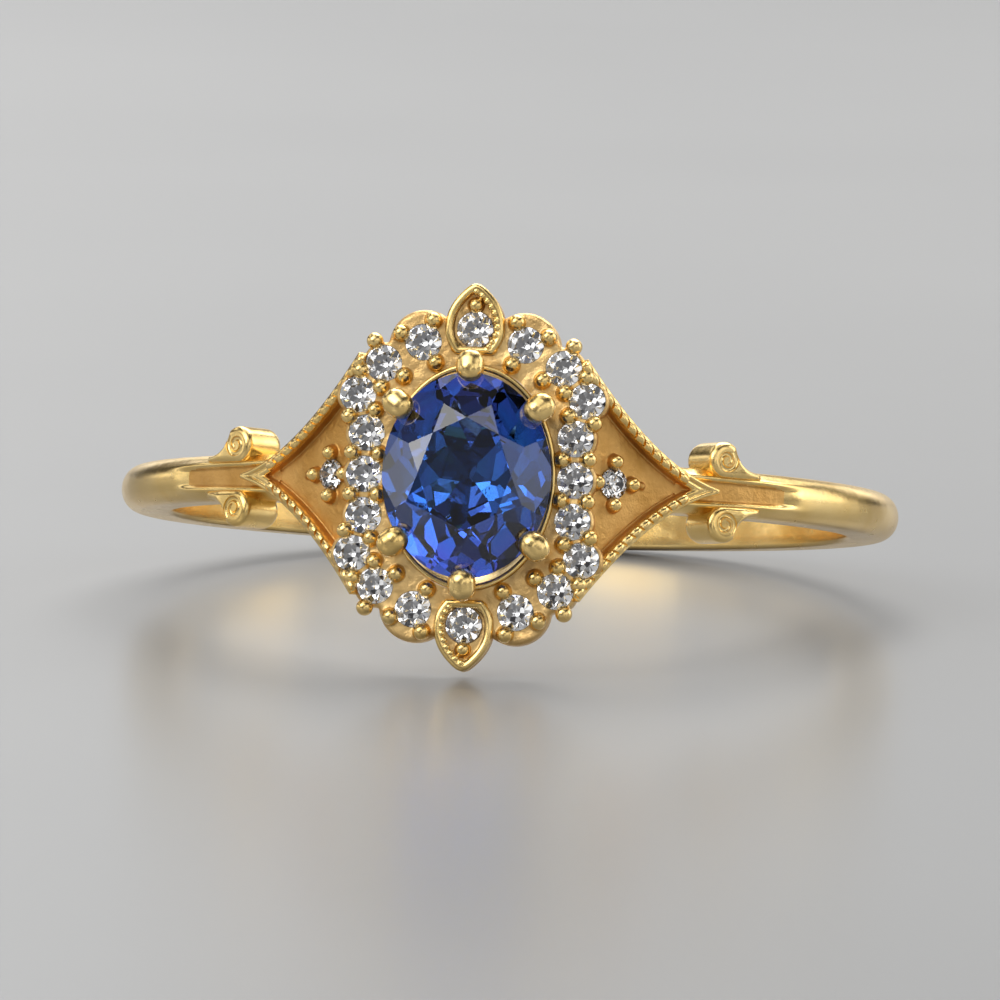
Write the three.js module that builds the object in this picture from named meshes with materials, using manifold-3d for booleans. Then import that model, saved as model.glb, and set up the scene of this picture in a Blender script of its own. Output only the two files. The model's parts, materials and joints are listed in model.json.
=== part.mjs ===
// A yellow gold engagement ring: an oval blue sapphire in six claws, a scalloped halo of round
// diamonds with a pointed petal above and below, kite-shaped shoulders and four scrolls.
//
// Millimetres. The ring is drawn in its own frame: X to the right, Y along the finger, Z out of
// the finger towards the eye. At the end it is laid on a table, +Z up, where it rests on the tip
// of its lower petal and on the back of its band.

import * as THREE from 'three';
import { mergeVertices } from 'three/addons/utils/BufferGeometryUtils.js';
import Module from 'manifold-3d';

const wasm = await Module();
wasm.setup();

// Band
const FINGER_DIAMETER = 17.3;
const BAND_WIDTH = 1.15;
const BAND_THICKNESS = 1.3;
const BAND_SIDE_FLAT = 0.8;
const BAND_INNER_EASE = 0.12;
const CHANNEL_DEPTH = 0.1;
const CHANNEL_WIDTH = 0.5;
const CHANNEL_LENGTH = 2.9;
const BRIDGE_THICKNESS = 0.5;
const SEAT_HALF_WIDTH = 2.3;

// Centre stone
const SAPPHIRE_LENGTH = 5.0;
const SAPPHIRE_WIDTH = 4.12;
const SAPPHIRE_CROWN = 0.58;
const SAPPHIRE_GIRDLE = 0.1;
const SAPPHIRE_PAVILION = 1.85;
const SAPPHIRE_LIFT = 0.65;
const SAPPHIRE_TABLE_SHARE = 0.6;
const SAPPHIRE_BELLY = { share: 0.62, depth: 0.42 };

// Halo
const HALO_RISE = 0.6;
const HALO_OFFSET = 0.517;
const PLATE_THICKNESS = 0.75;
const PLATE_BORDER = 0.09;
const PLATE_BODY_MARGIN = { x: 0.3, y: 0.73 };
const PETAL_POCKET_FLOOR = 0.3;
const MELEE_SPACE = 0.09;
const MELEE_SINK = 0.02;
const LOBE_RADIUS = 0.88;
const LOBE_INSET = 0.975;
const PETAL_STONE_OFFSET = 1.1;

// Places of the halo stones of one quarter, as shares of the halo's half width and half length,
// from beside the petal round to the middle of the side
const HALO_PATTERN = [
  [0.485, 1.079],
  [0.854, 0.898],
  [1.088, 0.643],
  [0.990, 0.334],
  [1.000, 0.000],
];
// Turns, in degrees, of the single grains round the first two stones of a quarter
const SINGLE_GRAINS = [[20, 113, 237], [67, 211]];

// Petals
const PETAL_POINT = 1.23;
const PETAL_FOOT = 0.62;
const PETAL_HALF_WIDTH = 0.73;
const PETAL_FOOT_HALF_WIDTH = 0.45;
const PETAL_SHOULDER = 0.45;
const PETAL_FULLNESS = 0.75;
const PETAL_RIM = 0.2;
const PETAL_RIM_HEIGHT = 0.17;
const PETAL_FLOOR_DEPTH = 0.06;

// Claws and collar of the centre stone
const CLAW_RADIUS = 0.26;
const CLAW_BALL_RADIUS = 0.33;
const CLAW_OUTSIDE = 0.1;
const CLAW_LEAN = 0.2;
const CLAW_TURN = 51;
const CLAW_RISE = 0.22;
const COLLAR_WALL = 0.12;
const COLLAR_END_SPACE = 0.26;
const COLLAR_LIP = 0.1;
const COLLAR_FOOT_SHARE = 0.74;

// Shoulders
const KITE_REACH = 5.95;
const KITE_ROOT_OUTSIDE = 0.323;
const KITE_ROOT_RISE = 0.09;
const KITE_ROOT_SPREAD = 0.91;
const KITE_WAIST = { share: 0.54, halfHeight: 0.45 };
const KITE_TUCK = 0.2;
const KITE_TIP_HALF_HEIGHT = 0.06;
const KITE_TIP_RISE = 0.12;
const KITE_THICKNESS = 0.75;
const KITE_RAIL = 0.3;
const KITE_RECESS = 0.28;
const KITE_STONE_DIAMETER = 0.75;
const KITE_STONE_SPACE = 0.66;

// Scrolls
const SCROLL_RADIUS = 0.46;
const SCROLL_OVERLAP = 0.245;
const SCROLL_LEAD = 0.2;
const SCROLL_TAIL = 1.15;
const SCROLL_NECK = 0.87;
const SCROLL_RISE = 0.1;
const SCROLL_DEPTH_SPARE = 0.1;
// Its size, its turns, and the shares of the scroll's radius at which it starts and ends
const SCROLL_GROOVE = { width: 0.07, depth: 0.12, turns: 1.4, outer: 0.8, inner: 0.25 };

// Brilliant cut, as shares of the stone's diameter
const CUT = { table: 0.56, crown: 0.15, girdle: 0.04, pavilion: 0.42 };

// Grains: their radius and how far pairs stand apart, as shares of a halo stone's diameter, and how
// far single ones stand out from the stone's edge
const GRAIN_SHARE = 0.2;
const GRAIN_PAIR_SHARE = 0.37;
const GRAIN_GRIP = 0.15;

// Distance kept between separate pieces, how far a cut runs past the face it opens, and how near
// two corners count as one
const GAP = 0.02;
const CUT_SPARE = 1;
const SAME_POINT = 1e-5;

// How finely round forms are divided
const BAND_SEGMENTS = 72;
const OUTLINE_SEGMENTS = 96;
const STONE_SEGMENTS = 12;
const CENTRE_SEGMENTS = 24;
const CLAW_SEGMENTS = 10;
const GRAIN_SEGMENTS = 6;
const ARC_STEPS = 8;

// Worked out from the sizes above
const innerRadius = FINGER_DIAMETER / 2;
const outerRadius = innerRadius + BAND_THICKNESS;
const sideRadius = innerRadius + BAND_SIDE_FLAT;
const halfBand = BAND_WIDTH / 2;
const haloFace = outerRadius + HALO_RISE;
const plateBack = haloFace - PLATE_THICKNESS;
const girdleLevel = haloFace + SAPPHIRE_LIFT;
const seatLevel = innerRadius + BRIDGE_THICKNESS;
const halfSapphire = { x: SAPPHIRE_WIDTH / 2, y: SAPPHIRE_LENGTH / 2 };
const haloHalf = { x: halfSapphire.x + HALO_OFFSET, y: halfSapphire.y + HALO_OFFSET };
const quarterStones = HALO_PATTERN.map(([across, along]) => new THREE.Vector2(
  across * haloHalf.x,
  along * haloHalf.y,
));
const spacings = quarterStones.slice(1).map((place, i) => place.distanceTo(quarterStones[i]));
const collarSpace = HALO_OFFSET - CLAW_OUTSIDE / 2 - GAP;
const meleeDiameter = Math.min(...spacings.map((space) => space - MELEE_SPACE), 2 * collarSpace);
const meleeRadius = meleeDiameter / 2;
const grainRadius = GRAIN_SHARE * meleeDiameter;
const petalStoneY = halfSapphire.y + PETAL_STONE_OFFSET;
const petalTipY = petalStoneY + PETAL_POINT;
const petalBack = plateBack + PETAL_POCKET_FLOOR;
const meleeLevel = haloFace - MELEE_SINK;
const collarOuter = halfSapphire.x + CLAW_OUTSIDE / 2;
const collarStretch = (halfSapphire.y + COLLAR_END_SPACE) / collarOuter;
const kiteRoot = haloHalf.x + KITE_ROOT_OUTSIDE;
const kiteRootHalfHeight = quarterStones[2].y + KITE_ROOT_SPREAD;
const kiteRootLevel = haloFace + KITE_ROOT_RISE;
const kiteTipRadius = outerRadius + KITE_TIP_RISE;
const kiteTipAngle = Math.asin(KITE_REACH / kiteTipRadius);
const kiteDrop = kiteRootLevel - kiteTipRadius * Math.cos(kiteTipAngle);
const kiteSlope = Math.atan(kiteDrop / (KITE_REACH - kiteRoot));
const kiteLength = Math.hypot(kiteDrop, KITE_REACH - kiteRoot);
const plateEdge = haloHalf.x + meleeRadius + PLATE_BORDER;
const kiteStonePlace = (plateEdge - kiteRoot) / Math.cos(kiteSlope) + KITE_STONE_SPACE;
const scrollAngle = kiteTipAngle + SCROLL_LEAD / outerRadius;
const scrollMiddle = halfBand + SCROLL_RADIUS - SCROLL_OVERLAP;

const materials = {
  gold: new THREE.MeshStandardMaterial({ color: 0xd9a441, roughness: 0.28, metalness: 1 }),
  sapphire: new THREE.MeshStandardMaterial({ color: 0x1c3fa8, roughness: 0.03, metalness: 0 }),
  diamond: new THREE.MeshStandardMaterial({ color: 0xf4f6fa, roughness: 0.02, metalness: 0 }),
};

// ---- Solids ----

// A closed mesh as a solid that can be joined and cut
function toSolid(geometry) {
  const bare = geometry.clone();
  bare.deleteAttribute('normal');
  bare.deleteAttribute('uv');
  const merged = mergeVertices(bare, SAME_POINT);
  const corners = merged.index.array;
  const triVerts = [];
  for (let i = 0; i < corners.length; i += 3) {
    const [a, b, c] = corners.slice(i, i + 3);
    if (a !== b && b !== c && c !== a) triVerts.push(a, b, c);
  }
  return new wasm.Manifold(new wasm.Mesh({
    numProp: 3,
    vertProperties: merged.attributes.position.array,
    triVerts: new Uint32Array(triVerts),
  }));
}

function toGeometry(solid) {
  const mesh = solid.getMesh();
  const geometry = new THREE.BufferGeometry();
  geometry.setAttribute('position', new THREE.BufferAttribute(mesh.vertProperties, 3));
  geometry.setIndex(new THREE.BufferAttribute(mesh.triVerts, 1));
  geometry.computeVertexNormals();
  return geometry;
}

// An outline in the XY plane, extruded along Z
function extrude(points, bottom, top) {
  const settings = { depth: top - bottom, bevelEnabled: false };
  return new THREE.ExtrudeGeometry(new THREE.Shape(points), settings).translate(0, 0, bottom);
}

// A profile of (radius, height) turned about the Z axis
function turn(profile, segments) {
  const points = profile.map(([radius, height]) => new THREE.Vector2(radius, height));
  return new THREE.LatheGeometry(points, segments).rotateX(Math.PI / 2);
}

function circle(centre, radius, segments) {
  const points = [];
  for (let i = 0; i < segments; i += 1) {
    const angle = (i / segments) * 2 * Math.PI;
    points.push(new THREE.Vector2(
      centre.x + radius * Math.cos(angle),
      centre.y + radius * Math.sin(angle),
    ));
  }
  return points;
}

// A counterclockwise outline moved outwards by a distance, or inwards where it is negative
function offset(points, distance) {
  return points.map((point, i) => {
    const before = points[(i + points.length - 1) % points.length];
    const after = points[(i + 1) % points.length];
    const normals = [[before, point], [point, after]].map(([from, to]) => {
      const along = to.clone().sub(from).normalize();
      return new THREE.Vector2(along.y, -along.x);
    });
    const middle = normals[0].clone().add(normals[1]).normalize();
    return point.clone().addScaledVector(middle, distance / middle.dot(normals[0]));
  });
}

// Both halves of an outline that is the same on either side of an axis
function mirrored(half, flip) {
  return [...half, ...half.map(flip).reverse()];
}

const flipX = (point) => new THREE.Vector2(-point.x, point.y);
const flipY = (point) => new THREE.Vector2(point.x, -point.y);

// ---- Stones ----

function brilliant(diameter) {
  const radius = diameter / 2;
  const halfGirdle = (CUT.girdle * diameter) / 2;
  return turn([
    [0, -halfGirdle - CUT.pavilion * diameter],
    [radius, -halfGirdle],
    [radius, halfGirdle],
    [CUT.table * radius, halfGirdle + CUT.crown * diameter],
    [0, halfGirdle + CUT.crown * diameter],
  ], STONE_SEGMENTS);
}

// The same cut, larger by the gap all round, for the hollow that a stone sits in
function stoneHollow(diameter) {
  const growth = 1 + (4 * GAP) / diameter;
  return brilliant(diameter).scale(growth, growth, growth);
}

function sapphire(growth) {
  const radius = halfSapphire.x;
  const halfGirdle = SAPPHIRE_GIRDLE / 2;
  const stone = turn([
    [0, -halfGirdle - SAPPHIRE_PAVILION],
    [radius * SAPPHIRE_BELLY.share, -halfGirdle - SAPPHIRE_PAVILION * SAPPHIRE_BELLY.depth],
    [radius, -halfGirdle],
    [radius, halfGirdle],
    [radius * SAPPHIRE_TABLE_SHARE, halfGirdle + SAPPHIRE_CROWN],
    [0, halfGirdle + SAPPHIRE_CROWN],
  ], CENTRE_SEGMENTS);
  stone.scale(1, halfSapphire.y / halfSapphire.x, 1);
  return stone.scale(growth, growth, growth).translate(0, 0, girdleLevel);
}

const sapphireHollow = toSolid(sapphire(1 + (2 * GAP) / halfSapphire.x));

// ---- Grains and claws ----

function grain(x, y, level) {
  const ball = new THREE.SphereGeometry(grainRadius, GRAIN_SEGMENTS, GRAIN_SEGMENTS - 2);
  return ball.rotateX(Math.PI / 2).translate(x, y, level);
}

// Grains of one quarter: two beside each narrow space between neighbours, and the single ones
function quarterGrains() {
  const reach = meleeRadius + GRAIN_GRIP;
  const pairReach = GRAIN_PAIR_SHARE * meleeDiameter;
  const places = [];
  for (let i = 1; i < quarterStones.length - 1; i += 1) {
    const [first, second] = [quarterStones[i], quarterStones[i + 1]];
    const middle = first.clone().lerp(second, 1 / 2);
    const along = second.clone().sub(first).normalize();
    const across = new THREE.Vector2(-along.y, along.x).multiplyScalar(pairReach);
    places.push(middle.clone().add(across));
    places.push(middle.clone().sub(across));
  }
  SINGLE_GRAINS.forEach((turns, i) => turns.forEach((degrees) => {
    const angle = THREE.MathUtils.degToRad(degrees);
    const spoke = new THREE.Vector2(Math.cos(angle), Math.sin(angle));
    places.push(quarterStones[i].clone().addScaledVector(spoke, reach));
  }));
  return places;
}

function quarters(places) {
  const flips = [[1, 1], [1, -1], [-1, -1], [-1, 1]];
  return flips.flatMap(([sx, sy]) => places.map((place) => new THREE.Vector2(
    sx * place.x,
    sy * place.y,
  )));
}

// A leaning post with a ball on top, its foot and its head on ovals just outside the girdle
function claw(degrees, extra) {
  const angle = THREE.MathUtils.degToRad(degrees);
  const at = (outside, level) => new THREE.Vector3(
    (halfSapphire.x + outside) * Math.sin(angle),
    (halfSapphire.y + outside) * Math.cos(angle),
    level,
  );
  const head = at(CLAW_OUTSIDE, girdleLevel + CLAW_RISE);
  const foot = at(CLAW_OUTSIDE + CLAW_LEAN, plateBack - extra);
  const length = head.distanceTo(foot);
  const post = new THREE.CylinderGeometry(
    CLAW_RADIUS + extra,
    CLAW_RADIUS + extra,
    length,
    CLAW_SEGMENTS,
  ).translate(0, length / 2, 0);
  const along = head.clone().sub(foot).normalize();
  post.applyQuaternion(new THREE.Quaternion().setFromUnitVectors(THREE.Object3D.DEFAULT_UP, along));
  post.translate(foot.x, foot.y, foot.z);
  const ball = new THREE.SphereGeometry(CLAW_BALL_RADIUS + extra, CLAW_SEGMENTS, CLAW_SEGMENTS - 4);
  ball.translate(head.x, head.y, head.z);
  return toSolid(post).add(toSolid(ball));
}

// Clockwise from the top claw
const clawTurns = [0, CLAW_TURN, 180 - CLAW_TURN, 180, 180 + CLAW_TURN, 360 - CLAW_TURN];
const clawHollow = clawTurns.map((degrees) => claw(degrees, GAP)).reduce((all, one) => all.add(one));

// ---- Collar ----

// An oval cup wall round the point of the centre stone, standing on the flat seat of the band
function collar() {
  const foot = { radius: collarOuter * COLLAR_FOOT_SHARE, level: seatLevel + GAP };
  const bend = haloFace - PLATE_THICKNESS / 2;
  const top = haloFace + COLLAR_LIP;
  const wall = toSolid(turn([
    [foot.radius, foot.level],
    [collarOuter, bend],
    [collarOuter, top],
    [collarOuter - COLLAR_WALL, top],
    [collarOuter - COLLAR_WALL, bend],
    [foot.radius - COLLAR_WALL, foot.level],
    [foot.radius, foot.level],
  ], 2 * CENTRE_SEGMENTS).scale(1, collarStretch, 1));
  return wall.subtract(clawHollow).subtract(sapphireHollow);
}

// ---- Halo plate ----

// Distance from the centre to the far side of a disc, along a direction
function reachOfDisc(direction, { centre, radius }) {
  const along = centre.dot(direction);
  const left = radius ** 2 - (centre.lengthSq() - along ** 2);
  return left < 0 || along < 0 ? 0 : along + Math.sqrt(left);
}

// The scalloped outline: an oval with a lobe round every stone, larger by extra all round
function plateOutline(extra, more) {
  const lobes = quarters(quarterStones).map((centre) => ({
    centre,
    radius: meleeRadius + PLATE_BORDER + extra,
  }));
  const largeLobe = quarterStones[0].clone().multiplyScalar(LOBE_INSET);
  quarters([largeLobe]).forEach((centre) => lobes.push({ centre, radius: LOBE_RADIUS + extra }));
  const points = [];
  for (let i = 0; i < OUTLINE_SEGMENTS; i += 1) {
    const angle = (i / OUTLINE_SEGMENTS) * 2 * Math.PI;
    const direction = new THREE.Vector2(Math.cos(angle), Math.sin(angle));
    const body = 1 / Math.hypot(
      direction.x / (haloHalf.x + PLATE_BODY_MARGIN.x + extra),
      direction.y / (haloHalf.y + PLATE_BODY_MARGIN.y + extra),
    );
    const reaches = [...lobes, ...more].map((lobe) => reachOfDisc(direction, lobe));
    points.push(direction.multiplyScalar(Math.max(body, ...reaches)));
  }
  return points;
}

const grainPlaces = quarters(quarterGrains());

function haloPlate() {
  let plate = toSolid(extrude(plateOutline(0, []), plateBack, haloFace));
  grainPlaces.forEach(({ x, y }) => {
    plate = plate.add(toSolid(grain(x, y, haloFace)));
  });
  const opening = circle(new THREE.Vector2(), collarOuter + GAP, 2 * CENTRE_SEGMENTS)
    .map(({ x, y }) => new THREE.Vector2(x, y * collarStretch));
  plate = plate.subtract(toSolid(extrude(opening, plateBack - CUT_SPARE, haloFace + CUT_SPARE)));
  [0, Math.PI].forEach((half) => {
    const outline = offset(petalOutline(), GAP);
    const pocket = extrude(outline, petalBack - GAP, haloFace + CUT_SPARE);
    plate = plate.subtract(toSolid(pocket.rotateZ(half)));
  });
  haloStones().forEach(({ x, y }) => {
    plate = plate.subtract(toSolid(stoneHollow(meleeDiameter).translate(x, y, meleeLevel)));
  });
  return plate.subtract(clawHollow);
}

// Halo stones other than the petals' own, clockwise from beside the upper petal
function haloStones() {
  const all = quarters(quarterStones).filter(({ x, y }, i, list) => list.findIndex(
    (other) => Math.hypot(other.x - x, other.y - y) < GAP,
  ) === i);
  const clockwise = ({ x, y }) => (Math.atan2(x, y) + 2 * Math.PI) % (2 * Math.PI);
  return all.sort((first, second) => clockwise(first) - clockwise(second));
}

// ---- Petals ----

function petalOutline() {
  const middle = petalStoneY;
  const path = new THREE.Path();
  path.moveTo(0, petalTipY);
  path.bezierCurveTo(
    -PETAL_FULLNESS * PETAL_HALF_WIDTH, petalTipY - PETAL_SHOULDER,
    -PETAL_HALF_WIDTH, middle + PETAL_SHOULDER,
    -PETAL_HALF_WIDTH, middle,
  );
  path.quadraticCurveTo(
    -PETAL_HALF_WIDTH, middle - PETAL_FOOT / 2,
    -PETAL_FOOT_HALF_WIDTH, middle - PETAL_FOOT,
  );
  const left = path.getPoints(ARC_STEPS);
  return [...left, ...left.slice(1).map(flipX).reverse()];
}

function petal() {
  const outline = petalOutline();
  const rimTop = haloFace + PETAL_RIM_HEIGHT;
  const floorLevel = haloFace - PETAL_FLOOR_DEPTH;
  const inner = offset(outline, -PETAL_RIM);
  let solid = toSolid(extrude(outline, petalBack, rimTop));
  solid = solid.subtract(toSolid(extrude(inner, floorLevel, rimTop + CUT_SPARE)));
  solid = solid.add(toSolid(grain(0, petalStoneY + meleeRadius + GRAIN_GRIP, haloFace)));
  solid = solid.subtract(
    toSolid(stoneHollow(meleeDiameter).translate(0, petalStoneY, meleeLevel)),
  );
  return solid.subtract(clawHollow);
}

// ---- Shoulders ----

// Drawn flat, from the halo outwards along X, and then sloped down to the band
function kiteHalf() {
  const path = new THREE.Path();
  path.moveTo(kiteLength, KITE_TIP_HALF_HEIGHT);
  path.quadraticCurveTo(
    KITE_WAIST.share * kiteLength, KITE_WAIST.halfHeight,
    0, kiteRootHalfHeight,
  );
  return [...path.getPoints(ARC_STEPS), new THREE.Vector2(-KITE_TUCK, kiteRootHalfHeight)];
}

function slope(geometry) {
  return geometry.rotateY(kiteSlope).translate(kiteRoot, 0, kiteRootLevel);
}

function kiteSlab(extra) {
  const outline = offset(mirrored(kiteHalf(), flipY), extra);
  return toSolid(slope(extrude(outline, -KITE_THICKNESS - extra, extra)));
}

// The floor's outline: the kite's own, moved in by the rail, up to where its two sides meet
function kiteFloorOutline() {
  const closed = mirrored(kiteHalf(), flipY);
  const inner = offset(closed, -KITE_RAIL).slice(0, ARC_STEPS + 1).filter(({ y }) => y > GAP);
  const end = inner[inner.length - 1];
  return mirrored([...inner, new THREE.Vector2(-2 * KITE_TUCK, end.y)], flipY);
}

function shoulder() {
  let solid = kiteSlab(0);
  solid = solid.subtract(toSolid(slope(extrude(kiteFloorOutline(), -KITE_RECESS, CUT_SPARE))));
  const reach = KITE_STONE_DIAMETER / 2 + GRAIN_GRIP;
  [0, 90, 180, 270].forEach((degrees) => {
    const angle = THREE.MathUtils.degToRad(degrees);
    const x = kiteStonePlace + reach * Math.cos(angle);
    solid = solid.add(toSolid(slope(grain(x, reach * Math.sin(angle), -KITE_RECESS))));
  });
  solid = solid.subtract(toSolid(slope(
    stoneHollow(KITE_STONE_DIAMETER).translate(kiteStonePlace, 0, -KITE_RECESS),
  )));
  const grains = grainPlaces.map((centre) => ({ centre, radius: grainRadius + GAP }));
  const rounds = grains.map(({ centre, radius }) => circle(centre, radius, CLAW_SEGMENTS));
  [plateOutline(GAP, grains), ...rounds].forEach((outline) => {
    solid = solid.subtract(toSolid(extrude(outline, seatLevel, haloFace + CUT_SPARE)));
  });
  return solid;
}

// ---- Scrolls ----

// Drawn flat, with X along the band away from the kite: a disc with a tail along the band's edge
function scrollOutline() {
  const path = new THREE.Path();
  path.moveTo(SCROLL_TAIL, halfBand);
  path.quadraticCurveTo(
    SCROLL_RADIUS, halfBand,
    SCROLL_RADIUS * Math.cos(SCROLL_NECK),
    scrollMiddle + SCROLL_RADIUS * Math.sin(SCROLL_NECK),
  );
  path.absarc(0, scrollMiddle, SCROLL_RADIUS, SCROLL_NECK, (3 / 2) * Math.PI, false);
  path.lineTo(SCROLL_TAIL, scrollMiddle - SCROLL_RADIUS);
  return path.getPoints(ARC_STEPS).filter((point, i, list) => (
    point.distanceTo(list[(i + 1) % list.length]) > GAP / 2
  ));
}

function scrollGroove() {
  const { width, turns, outer, inner } = SCROLL_GROOVE;
  const steps = 2 * ARC_STEPS;
  const edge = (side) => Array.from({ length: steps + 1 }, (_, i) => {
    const share = i / steps;
    const angle = -share * turns * 2 * Math.PI;
    const middle = SCROLL_RADIUS * (outer + (inner - outer) * share);
    const radius = middle + (side * width) / 2;
    return new THREE.Vector2(radius * Math.cos(angle), scrollMiddle + radius * Math.sin(angle));
  });
  return [...edge(1), ...edge(-1).reverse()];
}

function scroll(upper) {
  const place = (points) => (upper ? points : points.map(flipY));
  const bottom = innerRadius + SCROLL_DEPTH_SPARE;
  const top = outerRadius + SCROLL_RISE;
  const body = extrude(place(scrollOutline()), bottom, top).rotateY(scrollAngle);
  const groove = extrude(place(scrollGroove()), top - SCROLL_GROOVE.depth, top + CUT_SPARE);
  return toSolid(body).subtract(toSolid(groove.rotateY(scrollAngle)));
}

function scrollHollow(upper) {
  const points = offset(scrollOutline(), GAP);
  const outline = upper ? points : points.map(flipY);
  const hollow = extrude(outline, innerRadius - CUT_SPARE, outerRadius + CUT_SPARE);
  return toSolid(hollow.rotateY(scrollAngle));
}

// ---- Shank ----

function bandRing() {
  const profile = [
    [innerRadius + BAND_INNER_EASE, halfBand],
    [innerRadius, halfBand - BAND_INNER_EASE],
    [innerRadius, -halfBand + BAND_INNER_EASE],
    [innerRadius + BAND_INNER_EASE, -halfBand],
  ];
  for (let i = 0; i <= ARC_STEPS; i += 1) {
    const angle = (i / ARC_STEPS - 1 / 2) * Math.PI;
    profile.push([
      sideRadius + (outerRadius - sideRadius) * Math.cos(angle),
      halfBand * Math.sin(angle),
    ]);
  }
  profile.push(profile[0]);
  const points = profile.map(([radius, height]) => new THREE.Vector2(radius, height));
  return new THREE.LatheGeometry(points, BAND_SEGMENTS, Math.PI / BAND_SEGMENTS);
}

// The flat channel between the scrolls' rails, on the front of the band past each kite tip
function channel() {
  const steps = 2 * ARC_STEPS;
  const start = kiteTipAngle - KITE_TUCK / outerRadius;
  const end = scrollAngle + CHANNEL_LENGTH / outerRadius;
  const arc = (radius) => Array.from({ length: steps + 1 }, (_, i) => {
    const angle = start + (i / steps) * (end - start);
    return new THREE.Vector2(radius * Math.sin(angle), radius * Math.cos(angle));
  });
  const sector = [...arc(outerRadius - CHANNEL_DEPTH), ...arc(outerRadius + CUT_SPARE).reverse()];
  return extrude(sector, -CHANNEL_WIDTH / 2, CHANNEL_WIDTH / 2).rotateX(Math.PI / 2);
}

function shank() {
  const seatHeight = BAND_THICKNESS + CUT_SPARE;
  const seat = new THREE.BoxGeometry(2 * SEAT_HALF_WIDTH, 2 * BAND_WIDTH, seatHeight);
  seat.translate(0, 0, seatLevel + seatHeight / 2);
  let band = toSolid(bandRing()).subtract(toSolid(seat));
  [0, Math.PI].forEach((half) => {
    band = band.subtract(toSolid(channel().rotateZ(half)));
    const turned = (solid) => (half ? toSolid(toGeometry(solid).rotateZ(half)) : solid);
    band = band.subtract(turned(kiteSlab(GAP)));
    band = band.subtract(turned(scrollHollow(true)));
    band = band.subtract(turned(scrollHollow(false)));
  });
  return band;
}

// ---- Assembly ----

const ring = new THREE.Group();

function addPiece(name, geometry, material) {
  const mesh = new THREE.Mesh(geometry, material.clone());
  mesh.name = name;
  ring.add(mesh);
  return mesh;
}

addPiece('shank', toGeometry(shank()), materials.gold);
addPiece('halo_plate', toGeometry(haloPlate()), materials.gold);
addPiece('gallery_collar', toGeometry(collar()), materials.gold);
addPiece('centre_sapphire', sapphire(1), materials.sapphire);
clawTurns.forEach((degrees, i) => {
  const solid = claw(degrees, 0).subtract(sapphireHollow);
  addPiece(`prong_${i + 1}`, toGeometry(solid), materials.gold);
});

// The right and upper pieces, and their copies turned half a turn about the eye's line
const sides = [['right', 0], ['left', Math.PI]];
sides.forEach(([side, half]) => {
  addPiece(`shoulder_${side}`, toGeometry(shoulder()), materials.gold).rotation.z = half;
  const upper = half ? 'lower' : 'upper';
  const lower = half ? 'upper' : 'lower';
  addPiece(`scroll_${side}_${upper}`, toGeometry(scroll(true)), materials.gold).rotation.z = half;
  addPiece(`scroll_${side}_${lower}`, toGeometry(scroll(false)), materials.gold).rotation.z = half;
  const cut = slope(brilliant(KITE_STONE_DIAMETER).translate(kiteStonePlace, 0, -KITE_RECESS));
  addPiece(`shoulder_diamond_${side}`, cut, materials.diamond).rotation.z = half;
});
[['top', 0], ['bottom', Math.PI]].forEach(([end, half]) => {
  addPiece(`petal_${end}`, toGeometry(petal()), materials.gold).rotation.z = half;
  const stone = addPiece(`petal_diamond_${end}`, brilliant(meleeDiameter)
    .translate(0, petalStoneY, meleeLevel), materials.diamond);
  stone.rotation.z = half;
});
haloStones().forEach(({ x, y }, i) => {
  const number = String(i + 1).padStart(2, '0');
  const stone = addPiece(`halo_diamond_${number}`, brilliant(meleeDiameter), materials.diamond);
  stone.position.set(x, y, meleeLevel);
});

// Laid on the table: the lower petal's tip and the back edge of the band are equally low
const backReach = sideRadius * Math.cos(Math.PI / BAND_SEGMENTS);
const restTilt = Math.atan((petalTipY - halfBand) / (petalBack + backReach));
const laid = new THREE.Group();
laid.add(ring);
ring.rotation.x = Math.PI / 2 - restTilt;
laid.updateMatrixWorld(true);
const box = new THREE.Box3().setFromObject(laid, true);
ring.position.set(-(box.min.x + box.max.x) / 2, -(box.min.y + box.max.y) / 2, -box.min.z);

export default laid;
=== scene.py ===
import json
import math

import bmesh
import bpy
from mathutils import Matrix, Vector


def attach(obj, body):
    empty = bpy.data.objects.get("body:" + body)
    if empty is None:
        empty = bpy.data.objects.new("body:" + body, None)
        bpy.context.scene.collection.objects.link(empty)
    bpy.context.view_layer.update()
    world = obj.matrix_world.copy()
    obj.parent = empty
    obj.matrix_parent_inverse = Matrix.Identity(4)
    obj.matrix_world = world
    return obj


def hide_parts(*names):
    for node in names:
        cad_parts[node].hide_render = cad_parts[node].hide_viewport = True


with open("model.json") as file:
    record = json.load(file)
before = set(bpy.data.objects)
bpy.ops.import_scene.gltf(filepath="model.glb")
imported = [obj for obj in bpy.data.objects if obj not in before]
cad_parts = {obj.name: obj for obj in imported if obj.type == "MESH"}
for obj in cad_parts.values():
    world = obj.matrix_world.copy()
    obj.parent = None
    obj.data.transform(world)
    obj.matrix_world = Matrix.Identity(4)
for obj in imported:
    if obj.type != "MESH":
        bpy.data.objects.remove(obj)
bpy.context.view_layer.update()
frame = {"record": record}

# The fine surfaces of a gold engagement ring. Every piece is drawn in millimetres in the ring's own
# frame (X to the right, Y along the finger, Z out through the centre stone), and then laid in the
# CAD model's place by RING. Sizes are the CAD model's, with more for what only the fine surfaces show.

# ---- Sizes, in millimetres ----

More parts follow.
